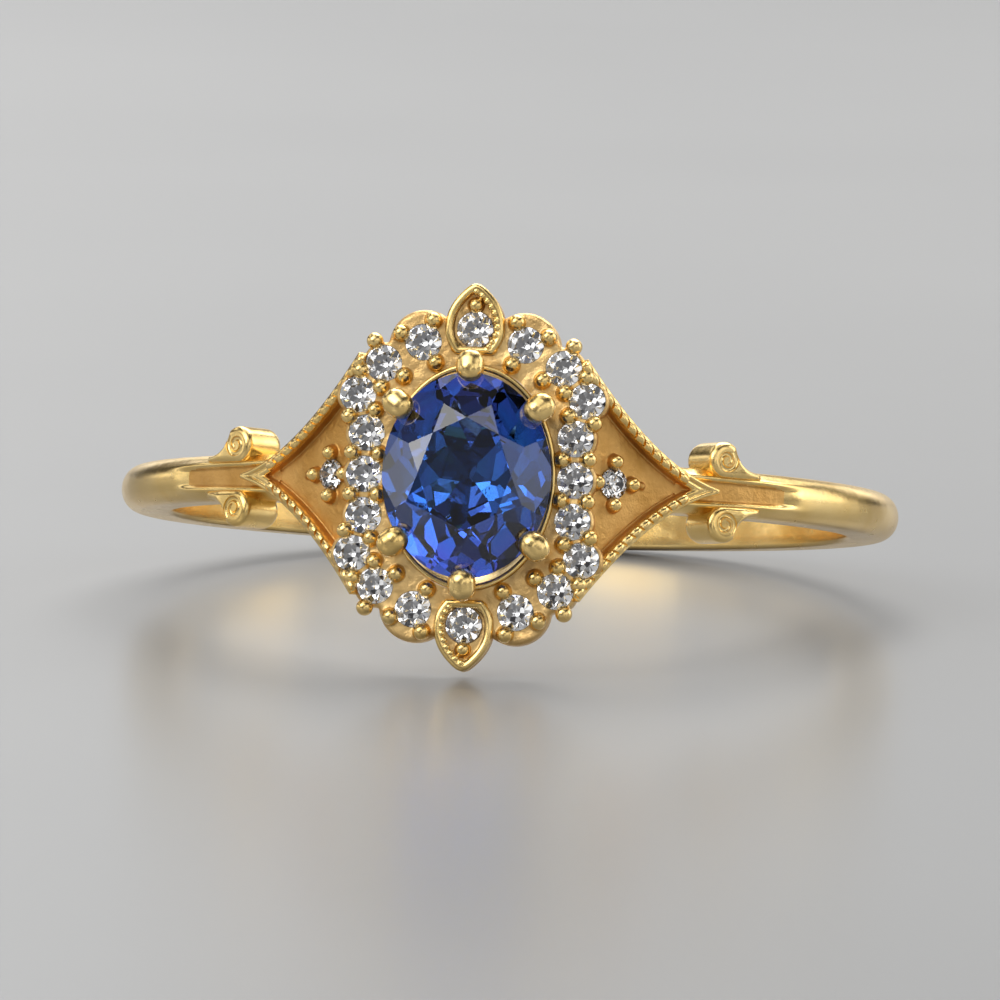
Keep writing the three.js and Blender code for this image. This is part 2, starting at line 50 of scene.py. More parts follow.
FLAT_RADIUS = 9.11             # from the finger's centre to the record's two mounts
INNER_RADIUS = 8.65
BAND_THICKNESS = 1.3
BAND_WIDTH = 1.15
BAND_SIDE_FLAT = 0.8
BAND_INNER_EASE = 0.12
BAND_SIDE_DROP = 0.06
BAND_CORNER_STEPS = 4
BAND_FACE_STEPS = 72
SHANK_STEPS = 900
BRIDGE_THICKNESS = 0.5
SEAT_HALF_WIDTH = 2.3
SEAT_EASE = 0.02
SEAT_TURN = math.pi / 3        # the seat ends well within this turn from the head

# The channel in the band's face and the rails beside it. Their spans are shares of the way from the
# kite's tip, at 0, to the channel's end, at 1.
CHANNEL_DEPTH = 0.13
CHANNEL_LENGTH = 2.7
CHANNEL_HALF_WIDTH = 0.25
CHANNEL_NARROWING = 0.06
CHANNEL_EDGE = (0.05, 0.08)
CHANNEL_OPENS = (-0.9, -0.6)
CHANNEL_CLOSES = (0.6, 1.0)
# Where the matte gold lies on the channel's floor; its darker tone is painted shade
CHANNEL_MATTE_SHADE_SHARES = (1.3, 0.7)
CHANNEL_MATTE_SHADE_HALF_WIDTH = 0.26
CHANNEL_MATTE_SHADE_LEAD = 0.05
CHANNEL_MATTE_SHADE_SPARE = 0.25
RAIL_HEIGHT = 0.06
RAIL_OFFSET = 0.12
RAIL_HALF_WIDTH = 0.085
RAIL_ENDS = (0.55, 1.2)

SAPPHIRE_LENGTH = 5.0
SAPPHIRE_WIDTH = 4.12
SAPPHIRE_LIFT = 0.65
SAPPHIRE_GIRDLE = 0.1
# Facets in a tier, its turn in facets, its tilt in degrees, and its outer and inner reach
SAPPHIRE_TIERS = ((16, 0.5, 50, 1.0, 0.8), (12, 0.0, 42, 0.8, 0.5), (8, 0.5, 36, 0.5, 0.0))
# How far a facet wavers: its turn in radians and its tilt in degrees
SAPPHIRE_WAVER = (0.06, 1.4)
UNEVEN_TURN = 2.4
STONE_STEPS = 64
CUT_TOLERANCE = 1e-6
STAR_REACH = 0.924
LOWER_GIRDLE_TILT = 1.8
DIAMOND_GIRDLE_SHARE = 0.04
BLANK_SPARE = (1.2, 1.1)

PIT_SPACE = 0.012
PIT_SEAT_DROP = 0.02
PIT_SEAT_RISE = 0.01
PIT_DEPTH_SHARE = 0.52
PIT_CROWN_SHARE = 0.16
PIT_REACH_SHARES = (0.1, 0.58, 0.40)
PIT_CHIMNEY = 0.3
PIT_STEPS = 40

HALO_RISE = 0.6
HALO_OFFSET = 0.517
PLATE_THICKNESS = 0.75
PLATE_BORDER = 0.09
PLATE_BODY_MARGIN = (0.3, 0.73)
PLATE_EASE = 0.13
PLATE_STEPS = 420
PLATE_VOXEL = 0.026
COLLAR_OPENING_SPACE = 0.01
PETAL_OPENING_SPACE = 0.005
CUT_THROUGH = 1
SATIN_TOP = 0.02
PETAL_POCKET_FLOOR = 0.3
MELEE_SPACE = 0.09
MELEE_SINK = 0.02
LOBE_RADIUS = 0.88
LOBE_INSET = 0.975
PETAL_STONE_OFFSET = 1.1
# Halo stones of one quarter, as shares of the halo's half width and half length
HALO_PATTERN = ((0.485, 1.079), (0.854, 0.898), (1.088, 0.643), (0.990, 0.334), (1.0, 0.0))
SAME_PLACE = 0.02
# Turns, in degrees, of the single grains round each of a quarter's first two stones
SINGLE_GRAINS = ((20, 113, 237), (67, 211))

PETAL_POINT = 1.23
PETAL_FOOT = 0.62
PETAL_HALF_WIDTH = 0.73
PETAL_FOOT_HALF_WIDTH = 0.45
PETAL_SHOULDER = 0.45
PETAL_FULLNESS = 0.75
PETAL_RIM = 0.2
PETAL_TIP_PASSES = 6
PETAL_TIP_REACH = 0.4
PETAL_RIM_HEIGHT = 0.17
PETAL_RIM_FOOT = 0.05
PETAL_RIM_EASE = 0.09
PETAL_FLOOR_DEPTH = 0.06
PETAL_FLOOR_EASE = 0.03
PETAL_SIDE_STEPS = 24
PETAL_FOOT_STEPS = 10
PETAL_BEAD_PITCH = 0.17
PETAL_BEAD_RADIUS = 0.085
PETAL_BEAD_RISE = 0.1
PETAL_BEADS_BELOW = 0.45
PETAL_GRAIN_SWELL = 1.1
PETAL_FOOT_GRAIN = (0.44, -0.46, 0.02)
PETAL_FOOT_GRAIN_SWELL = 0.8
PETAL_VOXEL = 0.02

CLAW_RADIUS = 0.26
CLAW_BALL_RADIUS = 0.33
CLAW_OUTSIDE = 0.1
CLAW_LEAN = 0.2
CLAW_TURN = 51
CLAW_RISE = 0.22
CLAW_PATH_SHARES = (0.5, 0.8)
CLAW_STEPS = 24
CLAW_SWELL = 1.06
CLAW_TAPER = 0.14
CLAW_TAPER_SPAN = (0.2, 0.8)
CLAW_BALL_SWELL = 1.04
CLAW_BALL_RUN = 0.12
CLAW_BALL_HEIGHT = 0.92
CLAW_BALL_DROOP = 0.1
CLAW_STONE_GROWTH = 1.006
CLAW_VOXEL = 0.024
COLLAR_WALL = 0.12
COLLAR_END_SPACE = 0.26
COLLAR_LIP = 0.1
COLLAR_FOOT_SHARE = 0.74
COLLAR_FOOT_RISE = 0.02
COLLAR_BEND_SHARE = 0.5
COLLAR_BEND_DROP = 0.03
COLLAR_EDGE = (0.04, 0.015, 0.01)
COLLAR_STEPS = 160

KITE_REACH = 5.95
KITE_ROOT_OUTSIDE = 0.323
KITE_ROOT_RISE = 0.09
KITE_ROOT_SPREAD = 0.91
KITE_WAIST = (0.54, 0.45)
KITE_TIP_HALF_HEIGHT = 0.06
KITE_TIP_RISE = 0.12
KITE_THICKNESS = 0.75
KITE_RECESS = 0.28
KITE_STONE_DIAMETER = 0.75
KITE_STONE_SPACE = 0.66
KITE_STONE_LIFT = 0.05
KITE_ROOT_PAST = 0.3
KITE_FLOOR_EASE = 0.05
KITE_WALL_LEVELS = (-0.06, -0.15, -0.24, -0.33)
# Inset and radius of the tubes that stack up into the outer wall and the ledge inside it
KITE_WALL_TUBE = (0.055, 0.06)
KITE_LEDGE_TUBE = (0.2, 0.1)
KITE_LEDGE_DROP = 0.09
KITE_GRAIN_LIFT = 0.06
KITE_GRAIN_SWELL = (1.15, 1.5)
KITE_BALL_SPACE = 0.85
KITE_BALL_RADIUS = 0.1
KITE_PLATE_OVERLAP = 0.06
KITE_VOXEL = 0.022
KITE_RAIL_RUN = 0.15
MILGRAIN_PITCH = 0.33
MILGRAIN_RADIUS = 0.125
MILGRAIN_SWELL = 0.03
MILGRAIN_INSET = 0.18
MILGRAIN_LEVEL = -0.05
NOTCH_HALF = (0.035, 0.17, 0.13)
NOTCH_SLANT = 28
MILGRAIN_END = 0.11
KITE_FOOT_INSET = 0.33
KITE_FOOT_GROOVE = 0.04
# Bounds of the matte gold on a kite's recessed floor and walls, whose darker tone is painted shade
MATTE_SHADE_BELOW_FLOOR = 0.05
MATTE_SHADE_TOP = -0.11
MATTE_SHADE_INSET = 0.25

SCROLL_RADIUS = 0.46
SCROLL_OVERLAP = 0.245
SCROLL_LEAD = 0.2
SCROLL_TAIL = 1.15
SCROLL_NECK = 0.87
SCROLL_RISE = 0.1
SCROLL_DEPTH_SPARE = 0.1
# Bends of the tail: places along the band's edge and heights over it
SCROLL_TAIL_CURVE = ((SCROLL_TAIL, -0.04), (0.66, -0.02), (0.42, 0.12))
SCROLL_TAIL_STEPS = 16
SCROLL_TAIL_SPARE = 0.02
SCROLL_DISC_STEPS = 32
SCROLL_FOOT_STEPS = 8
SCROLL_TOP_EASE = 0.17
SCROLL_BOTTOM_EASE = 0.3
SCROLL_VOXEL = 0.022
GROOVE_START = 0.9
GROOVE_TURNS = 1.35
GROOVE_REACH = (0.64, 0.50)
GROOVE_RADIUS = 0.08
GROOVE_THINNING = 0.025
GROOVE_STEPS = 60

GRAIN_GRIP = 0.15
GRAIN_PAIR_SHARE = 0.37
GRAIN_SHARE = 0.2
GRAIN_LIFT = 0.04
GRAIN_SWELL = (1.2, 1.3)
SHARP_ANGLE = 50

outer_radius = INNER_RADIUS + BAND_THICKNESS
side_radius = INNER_RADIUS + BAND_SIDE_FLAT
half_band = BAND_WIDTH / 2
halo_face = outer_radius + HALO_RISE
plate_back = halo_face - PLATE_THICKNESS
petal_back = plate_back + PETAL_POCKET_FLOOR
girdle_level = halo_face + SAPPHIRE_LIFT
melee_level = halo_face - MELEE_SINK
seat_level = INNER_RADIUS + BRIDGE_THICKNESS
half_sapphire = (SAPPHIRE_WIDTH / 2, SAPPHIRE_LENGTH / 2)
halo_half = (half_sapphire[0] + HALO_OFFSET, half_sapphire[1] + HALO_OFFSET)
quarter_stones = [Vector((a * halo_half[0], b * halo_half[1])) for a, b in HALO_PATTERN]
melee_diameter = min(
    (b - a).length for a, b in zip(quarter_stones, quarter_stones[1:])
) - MELEE_SPACE
melee_radius = melee_diameter / 2
grain_radius = GRAIN_SHARE * melee_diameter
petal_stone_y = half_sapphire[1] + PETAL_STONE_OFFSET
petal_tip_y = petal_stone_y + PETAL_POINT
collar_outer = half_sapphire[0] + CLAW_OUTSIDE / 2
collar_stretch = (half_sapphire[1] + COLLAR_END_SPACE) / collar_outer
kite_root = halo_half[0] + KITE_ROOT_OUTSIDE
kite_root_half_height = quarter_stones[2].y + KITE_ROOT_SPREAD
kite_root_level = halo_face + KITE_ROOT_RISE
kite_tip_radius = outer_radius + KITE_TIP_RISE
kite_tip_angle = math.asin(KITE_REACH / kite_tip_radius)
kite_drop = kite_root_level - kite_tip_radius * math.cos(kite_tip_angle)
kite_slope = math.atan(kite_drop / (KITE_REACH - kite_root))
kite_length = math.hypot(kite_drop, KITE_REACH - kite_root)
plate_edge = halo_half[0] + melee_radius + PLATE_BORDER
kite_stone_level = -KITE_RECESS + KITE_STONE_LIFT
kite_stone_place = (plate_edge - kite_root) / math.cos(kite_slope) + KITE_STONE_SPACE
scroll_angle = kite_tip_angle + SCROLL_LEAD / outer_radius
scroll_middle = half_band + SCROLL_RADIUS - SCROLL_OVERLAP


def ring_matrix():
    """Carries the ring's own frame, in millimetres, to the CAD model's frame, in metres."""
    upper, lower = (Vector(mount["pos_m"]) for mount in frame["record"]["mounts"])
    finger = (upper - lower).normalized()
    head = Vector((0, -finger.z, finger.y))
    centre = (upper + lower) / 2 + head * FLAT_RADIUS * 0.001
    turn = Matrix(((1, 0, 0), (0, finger.y, head.y), (0, finger.z, head.z))).to_4x4()
    return Matrix.Translation(centre) @ turn @ Matrix.Scale(0.001, 4)


RING = ring_matrix()
HALF_TURN = Matrix.Rotation(math.pi, 4, "Z")
KITE_PLACE = (
    Matrix.Translation((kite_root, 0, kite_root_level)) @ Matrix.Rotation(kite_slope, 4, "Y")
)
SCROLL_PLACE = Matrix.Rotation(scroll_angle, 4, "Y")


# ---- Building surfaces ----

def smoothstep(value, low, high):
    """0 below the low value, 1 above the high one, and a soft rise between them."""
    share = min(max((value - low) / (high - low), 0.0), 1.0)
    return share * share * (3 - 2 * share)


def circle(radius, steps):
    """Points of a circle round the origin, counterclockwise."""
    turns = [2 * math.pi * i / steps for i in range(steps)]
    return [(radius * math.cos(turn), radius * math.sin(turn)) for turn in turns]


class Form:
    """One or more closed skins, gathered into one mesh."""

    def __init__(self):
        self.points = []
        self.faces = []

    def loops(self, rows, closed=False):
        """Skins a list of equal closed loops; the first and last are capped, or joined if closed."""
        start = len(self.points)
        count = len(rows[0])
        for row in rows:
            self.points.extend(Vector(point) for point in row)
        pairs = len(rows) if closed else len(rows) - 1
        for i in range(pairs):
            here = start + i * count
            there = start + ((i + 1) % len(rows)) * count
            for j in range(count):
                after = (j + 1) % count
                self.faces.append((here + j, here + after, there + after, there + j))
        if not closed:
            self.faces.append(tuple(start + j for j in reversed(range(count))))
            last = start + (len(rows) - 1) * count
            self.faces.append(tuple(last + j for j in range(count)))
        return self

    def ball(self, centre, radius, segments=20, rings=12, height=None):
        """A ball, or an egg where a height is given."""
        centre = Vector(centre)
        tall = height or radius
        rows = []
        for i in range(1, rings):
            tilt = math.pi * i / rings
            level = -tall * math.cos(tilt)
            ring = circle(radius * math.sin(tilt), segments)
            rows.append([centre + Vector((x, y, level)) for x, y in ring])
        return self.loops(rows)

    def bead(self, centre, along, half):
        """A slanting flat egg between two grains: half sizes along their row, across it and up."""
        first = len(self.points)
        self.ball((0, 0, 0), 1.0, 16, 10)
        slant = Matrix.Rotation(math.atan2(along.y, along.x) + math.radians(NOTCH_SLANT), 3, "Z")
        shape = slant @ Matrix.Diagonal(half)
        for i in range(first, len(self.points)):
            self.points[i] = centre + shape @ self.points[i]

    def tube(self, path, radii, segments=16, closed=False):
        """A round tube along a path, with a radius at each point."""
        rows = []
        count = len(path)
        side = None
        for i, point in enumerate(path):
            before = path[(i - 1) % count] if closed or i else point
            after = path[(i + 1) % count] if closed or i < count - 1 else point
            along = (after - before).normalized()
            if side is None:
                side = along.orthogonal().normalized()
            side = (side - along * side.dot(along)).normalized()
            up = along.cross(side)
            ring = circle(1.0, segments)
            rows.append([point + radii[i] * (x * side + y * up) for x, y in ring])
        return self.loops(rows, closed)

    def slab(self, outline, bottom, top, ease=0.0, steps=4, bottom_ease=None):
        """An outline between two levels, with its edges rounded."""
        rows = []
        eases = (ease if bottom_ease is None else bottom_ease, ease)
        for level, sign, ease in ((bottom, 1, eases[0]), (top, -1, eases[1])):
            arc = []
            for i in range(steps + 1 if ease else 1):
                angle = (i / steps) * math.pi / 2 if ease else math.pi / 2
                inset = ease * (1 - math.sin(angle))
                rise = ease * (1 - math.cos(angle))
                loop = offset(outline, -inset) if inset else outline
                arc.append([(x, y, level + sign * rise) for x, y in loop])
            rows.extend(arc if sign == 1 else reversed(arc))
        return self.loops(rows)

    def wall(self, outline, width, bottom, top, ease=0.04, steps=3):
        """A standing wall along the inside of a closed outline, with a rounded top."""
        section = [(0.0, bottom), (0.0, top - ease)]
        for i in range(1, steps + 1):
            angle = (i / steps) * math.pi / 2
            section.append((-ease * (1 - math.cos(angle)), top - ease * (1 - math.sin(angle))))
        for i in range(steps + 1):
            angle = (i / steps) * math.pi / 2
            section.append((
                -width + ease * (1 - math.sin(angle)),
                top - ease * (1 - math.cos(angle)),
            ))
        section.append((-width, bottom))
        rows = []
        for inset, level in section:
            loop = offset(outline, inset) if inset else outline
            rows.append([(x, y, level) for x, y in loop])
        return self.loops(rows, closed=True)

    def moved(self, matrix):
        self.points = [matrix @ point for point in self.points]
        return self

    def mesh(self, name):
        made = bpy.data.meshes.new(name)
        made.from_pydata([tuple(point) for point in self.points], [], self.faces)
        work = bmesh.new()
        work.from_mesh(made)
        bmesh.ops.recalc_face_normals(work, faces=work.faces)
        work.to_mesh(made)
        work.free()
        return made


def offset(outline, distance):
    """A counterclockwise outline moved outwards, or inwards where the distance is negative."""
    moved = []
    count = len(outline)
    for i, point in enumerate(outline):
        before, after = outline[i - 1], outline[(i + 1) % count]
        first = (point - before).normalized()
        second = (after - point).normalized()
        normals = Vector((first.y, -first.x)), Vector((second.y, -second.x))
        middle = (normals[0] + normals[1]).normalized()
        moved.append(point + middle * distance / max(middle.dot(normals[0]), 0.5))
    return moved


def mirrored_y(half):
    """Half an outline, and the same mirrored over the X axis."""
    return half + [Vector((x, -y)) for x, y in reversed(half)]


def bezier(points, steps):
    """Points of one curve of any degree, by repeated division of its control polygon."""
    made = []
    for i in range(steps + 1):
        level = [Vector(point) for point in points]
        while len(level) > 1:
            level = [a.lerp(b, i / steps) for a, b in zip(level, level[1:])]
        made.append(level[0])
    return made


def evenly(path, pitch):
    """Points about one pitch apart along a path, with equal steps."""
    lengths = [0.0]
    for a, b in zip(path, path[1:]):
        lengths.append(lengths[-1] + (b - a).length)
    count = max(round(lengths[-1] / pitch), 1)
    made = []
    index = 0
    for i in range(count + 1):
        wanted = lengths[-1] * i / count
        while index < len(path) - 2 and lengths[index + 1] < wanted:
            index += 1
        span = lengths[index + 1] - lengths[index]
        made.append(path[index].lerp(path[index + 1], (wanted - lengths[index]) / span))
    return made


def new_object(name, data):
    """An object in the scene, made of the mesh, light or camera given."""
    made = bpy.data.objects.new(name, data)
    bpy.context.scene.collection.objects.link(made)
    return made


def baked(mesh, *modifiers):
    """The mesh after a list of modifiers, each a type with its settings."""
    worker = new_object("worker", mesh)
    cutters = []
    for kind, settings in modifiers:
        modifier = worker.modifiers.new(kind.lower(), kind)
        for key, value in settings.items():
            if key == "object":
                value = new_object("cutter", value)
                cutters.append(value)
            setattr(modifier, key, value)
    graph = bpy.context.evaluated_depsgraph_get()
    result = bpy.data.meshes.new_from_object(worker.evaluated_get(graph), depsgraph=graph)
    for done in [worker, *cutters]:
        bpy.data.objects.remove(done)
    return result


def cast(form, voxel, cutters=(), passes=3):
    """Melts the skins of a form into one cast surface, and then cuts the hollows out of it."""
    steps = [
        ("REMESH", {"mode": "VOXEL", "voxel_size": voxel}),
        ("SMOOTH", {"factor": 0.5, "iterations": passes}),
    ]
    for cutter in cutters:
        steps.append(("BOOLEAN", {
            "operation": "DIFFERENCE",
            "solver": "MANIFOLD",
            "object": cutter,
        }))
    return baked(form.mesh("form"), *steps)


def add_piece(name, mesh, place, nodes, materials, facets=False, choose=None):
    """Puts a finished mesh in the scene in place of its CAD nodes."""
    mesh.name = name
    mesh.materials.clear()
    for material in materials:
        mesh.materials.append(material)
    if choose:
        for polygon in mesh.polygons:
            polygon.material_index = choose(polygon.center)
    mesh.transform(RING @ place)
    if facets:
        mesh.shade_flat()
    else:
        mesh.shade_smooth()
        mesh.set_sharp_from_angle(angle=math.radians(SHARP_ANGLE))
    piece = new_object(name, mesh)
    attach(piece, "root")
    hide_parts(*nodes)


# ---- Materials ----

def new_material(name):
    material = bpy.data.materials.new(name)
    material.use_nodes = True
    nodes = material.node_tree.nodes
    return material, nodes, material.node_tree.links, nodes["Principled BSDF"]


def new_clear_material(name, ior):
    material, nodes, links, shader = new_material(name)
    shader.inputs["IOR"].default_value = ior
    shader.inputs["Transmission Weight"].default_value = 1.0
    shader.inputs["Roughness"].default_value = 0.0
    return material, nodes, links, shader


def add_noise(nodes, links, scale, detail, roughness=0.5):
    """Noise with a scale in cells per metre."""
    place = nodes.new("ShaderNodeTexCoord")
    noise = nodes.new("ShaderNodeTexNoise")
    noise.inputs["Scale"].default_value = scale
    noise.inputs["Detail"].default_value = detail
    noise.inputs["Roughness"].default_value = roughness
    links.new(place.outputs["Object"], noise.inputs["Vector"])
    return noise


def add_ramp(nodes, links, source, stops):
    ramp = nodes.new("ShaderNodeValToRGB")
    elements = ramp.color_ramp.elements
    while len(elements) < len(stops):
        elements.new(0.5)
    for element, (position, color) in zip(elements, stops):
        element.position = position
        element.color = (*color, 1.0)
    links.new(source, ramp.inputs["Fac"])
    return ramp


def add_bump(nodes, links, source, distance, strength=1.0):
    bump = nodes.new("ShaderNodeBump")
    bump.inputs["Strength"].default_value = strength
    bump.inputs["Distance"].default_value = distance
    links.new(source, bump.inputs["Height"])
    return bump


def add_range(nodes, links, source, low, high):
    span = nodes.new("ShaderNodeMapRange")
    span.inputs["To Min"].default_value = low
    span.inputs["To Max"].default_value = high
    links.new(source, span.inputs["Value"])
    return span.outputs["Result"]


def gold_material(name, light, dark, roughness, bump, bump_scale, sway):
    """Cast and polished gold: slow changes of tone and form, uneven polish and a fine grain."""
    material, nodes, links, shader = new_material(name)
    shader.inputs["Metallic"].default_value = 1.0
    tone = add_noise(nodes, links, scale=900, detail=3)
    ramp = add_ramp(nodes, links, tone.outputs["Fac"], ((0.3, dark), (0.7, light)))
    links.new(ramp.outputs["Color"], shader.inputs["Base Color"])
    polish = add_noise(nodes, links, scale=2600, detail=4, roughness=0.6)
    links.new(
        add_range(nodes, links, polish.outputs["Fac"], roughness[0], roughness[1]),
        shader.inputs["Roughness"],
    )
    grain = add_noise(nodes, links, scale=bump_scale, detail=3, roughness=0.6)
    relief = add_bump(nodes, links, grain.outputs["Fac"], bump)
    hand = add_noise(nodes, links, scale=2200, detail=1)
    wave = add_bump(nodes, links, hand.outputs["Fac"], sway)
    links.new(wave.outputs["Normal"], relief.inputs["Normal"])
    links.new(relief.outputs["Normal"], shader.inputs["Normal"])
    return material


def sapphire_material():
    """Blue corundum, teal in the middle and blue further out, with faint silk; the violet tint towards
    the rim is painted reflection of the crown's lilac sheen.
    """
    material, nodes, links, shader = new_clear_material("blue_sapphire", ior=1.77)
    place = nodes.new("ShaderNodeTexCoord")
    shift = nodes.new("ShaderNodeVectorMath")
    shift.operation = "DISTANCE"
    centre = RING @ Vector((0, 0, girdle_level))
    shift.inputs[1].default_value = centre
    links.new(place.outputs["Object"], shift.inputs[0])
    share = nodes.new("ShaderNodeMapRange")
    share.inputs["From Max"].default_value = half_sapphire[1] * 0.001
    links.new(shift.outputs["Value"], share.inputs["Value"])
    # Teal centre and blue body are the stone's own colour; the violet blue rim stop is painted
    # reflection.
    ramp = add_ramp(nodes, links, share.outputs["Result"], (
        (0.25, (0.03, 0.17, 0.40)),
        (0.65, (0.015, 0.09, 0.44)),
        (1.0, (0.05, 0.055, 0.46)),
    ))
    links.new(ramp.outputs["Color"], shader.inputs["Base Color"])
    silk = add_noise(nodes, links, scale=700, detail=5, roughness=0.6)
    relief = add_bump(nodes, links, silk.outputs["Fac"], distance=0.00001, strength=0.1)
    links.new(relief.outputs["Normal"], shader.inputs["Normal"])
    return material


def diamond_material():
    """Near colourless diamond, with the faintest uneven tint."""
    material, nodes, links, shader = new_clear_material("white_diamond", ior=2.42)
    tint = add_noise(nodes, links, scale=500, detail=2)
    ramp = add_ramp(nodes, links, tint.outputs["Fac"], (
        (0.3, (0.99, 0.97, 0.95)),
        (0.7, (0.97, 0.98, 1.0)),
    ))
    links.new(ramp.outputs["Color"], shader.inputs["Base Color"])
    return material


def floor_material():
    """Pale polished card, hardly uneven."""
    material, nodes, links, shader = new_material("pale_floor")
    mottle = add_noise(nodes, links, scale=20, detail=3)
    ramp = add_ramp(nodes, links, mottle.outputs["Fac"], (
        (0.3, (0.245, 0.245, 0.242)),
        (0.7, (0.265, 0.265, 0.261)),
    ))
    links.new(ramp.outputs["Color"], shader.inputs["Base Color"])
    shader.inputs["Roughness"].default_value = 0.28
    shader.inputs["Specular IOR Level"].default_value = 0.5
    return material


POLISHED = gold_material(
    "polished_gold", light=(0.90, 0.66, 0.28), dark=(0.82, 0.56, 0.19), roughness=(0.18, 0.32),
    bump=0.000003, bump_scale=9000, sway=0.000010,
)
SATIN = gold_material(
    "satin_gold", light=(0.86, 0.60, 0.26), dark=(0.64, 0.40, 0.15), roughness=(0.34, 0.50),
    bump=0.000022, bump_scale=7000, sway=0.00008,
)
# Matte gold for the kite floors and the band's channel: the rough finish is real, but its darker, redder
# tone is painted shade of the recesses.
MATTE_SHADED = gold_material(
    "matte_gold_painted_shade", light=(0.76, 0.45, 0.15), dark=(0.54, 0.29, 0.075), roughness=(0.38, 0.55),
    bump=0.000022, bump_scale=9000, sway=0.00003,
)
SAPPHIRE = sapphire_material()
DIAMOND = diamond_material()


# ---- Stones ----

def cut_stone(radius, planes, top, bottom):
    """A stone cut from a round blank by planes, each a turn, a tilt from level, a radius and a level."""
    ring = circle(radius, STONE_STEPS)
    rows = [[(x, y, level) for x, y in ring] for level in (bottom, top)]
    mesh = Form().loops(rows).mesh("stone")
    work = bmesh.new()
    work.from_mesh(mesh)
    for turn, tilt, reach, level in planes:
        out = Vector((math.cos(turn), math.sin(turn), 0))
        normal = out * math.sin(tilt) + Vector((0, 0, math.cos(tilt)))
        everything = [*work.verts, *work.edges, *work.faces]
        cut = bmesh.ops.bisect_plane(
            work,
            geom=everything,
            dist=radius * CUT_TOLERANCE,
            plane_co=out * reach + Vector((0, 0, level)),
            plane_no=normal,
            clear_outer=True,
        )
        edges = [item for item in cut["geom_cut"] if isinstance(item, bmesh.types.BMEdge)]
        if edges:
            bmesh.ops.contextual_create(work, geom=edges)
    bmesh.ops.recalc_face_normals(work, faces=work.faces)
    work.to_mesh(mesh)
    work.free()
    return mesh


def brilliant(radius, girdle, table, crown_tilt, pavilion_tilt, star_tilt=22, girdle_tilt=40):
    """The planes and depth of a round brilliant with eight mains above and below."""
    eighth = math.pi / 4
    crown = math.radians(crown_tilt)
    pavilion = math.radians(pavilion_tilt)
    half = girdle / 2
    table_level = half + radius * (1 - table) * math.tan(crown)
    planes = [(0.0, 0.0, 0.0, table_level)]
    for i in range(8):
        main = i * eighth
        between = main + eighth / 2
        planes.append((main, crown, radius, half))
        planes.append((between, math.radians(star_tilt), radius * table * STAR_REACH, table_level))
        planes.append((main, math.pi - pavilion, radius, -half))
        for side in (-1, 1):
            turn = main + side * eighth / 4
            planes.append((turn, math.radians(girdle_tilt), radius, half))
            lower_tilt = math.pi - pavilion - math.radians(LOWER_GIRDLE_TILT)
            planes.append((turn, lower_tilt, radius, -half))
    depth = half + radius * math.tan(pavilion)
    return planes, table_level, depth


def round_diamond(diameter):
    radius = diameter / 2
    planes, top, depth = brilliant(
        radius, girdle=DIAMOND_GIRDLE_SHARE * diameter, table=0.56, crown_tilt=34.5,
        pavilion_tilt=40.75,
    )
    return cut_stone(radius, planes, top * BLANK_SPARE[0], -depth * BLANK_SPARE[1])


def oval_sapphire():
    """An oval mixed cut: a brilliant crown over three tiers of slightly uneven facets."""
    radius = half_sapphire[0]
    planes, top, depth = brilliant(
        radius, girdle=SAPPHIRE_GIRDLE, table=0.55, crown_tilt=31.0, pavilion_tilt=41.0, star_tilt=19,
    )
    planes = [plane for plane in planes if plane[1] < math.pi / 2]
    level = -SAPPHIRE_GIRDLE / 2
    for count, turn, tilt, reach, inner in SAPPHIRE_TIERS:
        for i in range(count):
            waver = math.sin(UNEVEN_TURN * i + tilt)
            planes.append((
                2 * math.pi * (i + turn) / count + SAPPHIRE_WAVER[0] * waver,
                math.pi - math.radians(tilt + SAPPHIRE_WAVER[1] * waver),
                radius * reach,
                level,
            ))
        level -= radius * (reach - inner) * math.tan(math.radians(tilt))
    mesh = cut_stone(radius, planes, top * BLANK_SPARE[0], -depth * BLANK_SPARE[1])
    mesh.transform(Matrix.Diagonal((1, half_sapphire[1] / radius, 1, 1)))
    return mesh


def pit(form, x, y, level, diameter):
    """The hollow that a round stone sits in: its own shape, a little larger, and closed above it."""
    radius = diameter / 2 + PIT_SPACE
    half = DIAMOND_GIRDLE_SHARE * diameter / 2
    culet_share, table_share, chimney_share = PIT_REACH_SHARES
    table_height = half + PIT_CROWN_SHARE * diameter
    profile = (
        (radius * culet_share, -PIT_DEPTH_SHARE * diameter),
        (radius, -half - PIT_SEAT_DROP),
        (radius, half + PIT_SEAT_RISE),
        (radius * table_share, table_height),
        (radius * chimney_share, table_height + PIT_CHIMNEY),
    )
    form.loops([
        [(x + across, y + along, level + height) for across, along in circle(reach, PIT_STEPS)]
        for reach, height in profile
    ])


# ---- Places ----

def four_ways(places):
    """The places of one quarter, and the same mirrored into the other three."""
    return [
        Vector((sx * x, sy * y))
        for sx, sy in ((1, 1), (1, -1), (-1, -1), (-1, 1))
        for x, y in places
    ]


def quarter_grains():
    """Grains of one quarter: two beside each narrow space between neighbours, and single ones."""
    reach = melee_radius + GRAIN_GRIP
    places = []
    for first, second in zip(quarter_stones[1:], quarter_stones[2:]):
        middle = (first + second) / 2
        along = second - first
        across = Vector((-along.y, along.x)).normalized() * GRAIN_PAIR_SHARE * melee_diameter
        places += [middle + across, middle - across]
    for stone, turns in zip(quarter_stones, SINGLE_GRAINS):
        for degrees in turns:
            angle = math.radians(degrees)
            places.append(stone + reach * Vector((math.cos(angle), math.sin(angle))))
    return places


def halo_places():
    """The halo stones other than the petals' own, clockwise from beside the upper petal."""
    places = []
    for place in four_ways(quarter_stones):
        if all((place - other).length > SAME_PLACE for other in places):
            places.append(place)
    return sorted(places, key=lambda place: math.atan2(place.x, place.y) % (2 * math.pi))


# ---- Shank ----

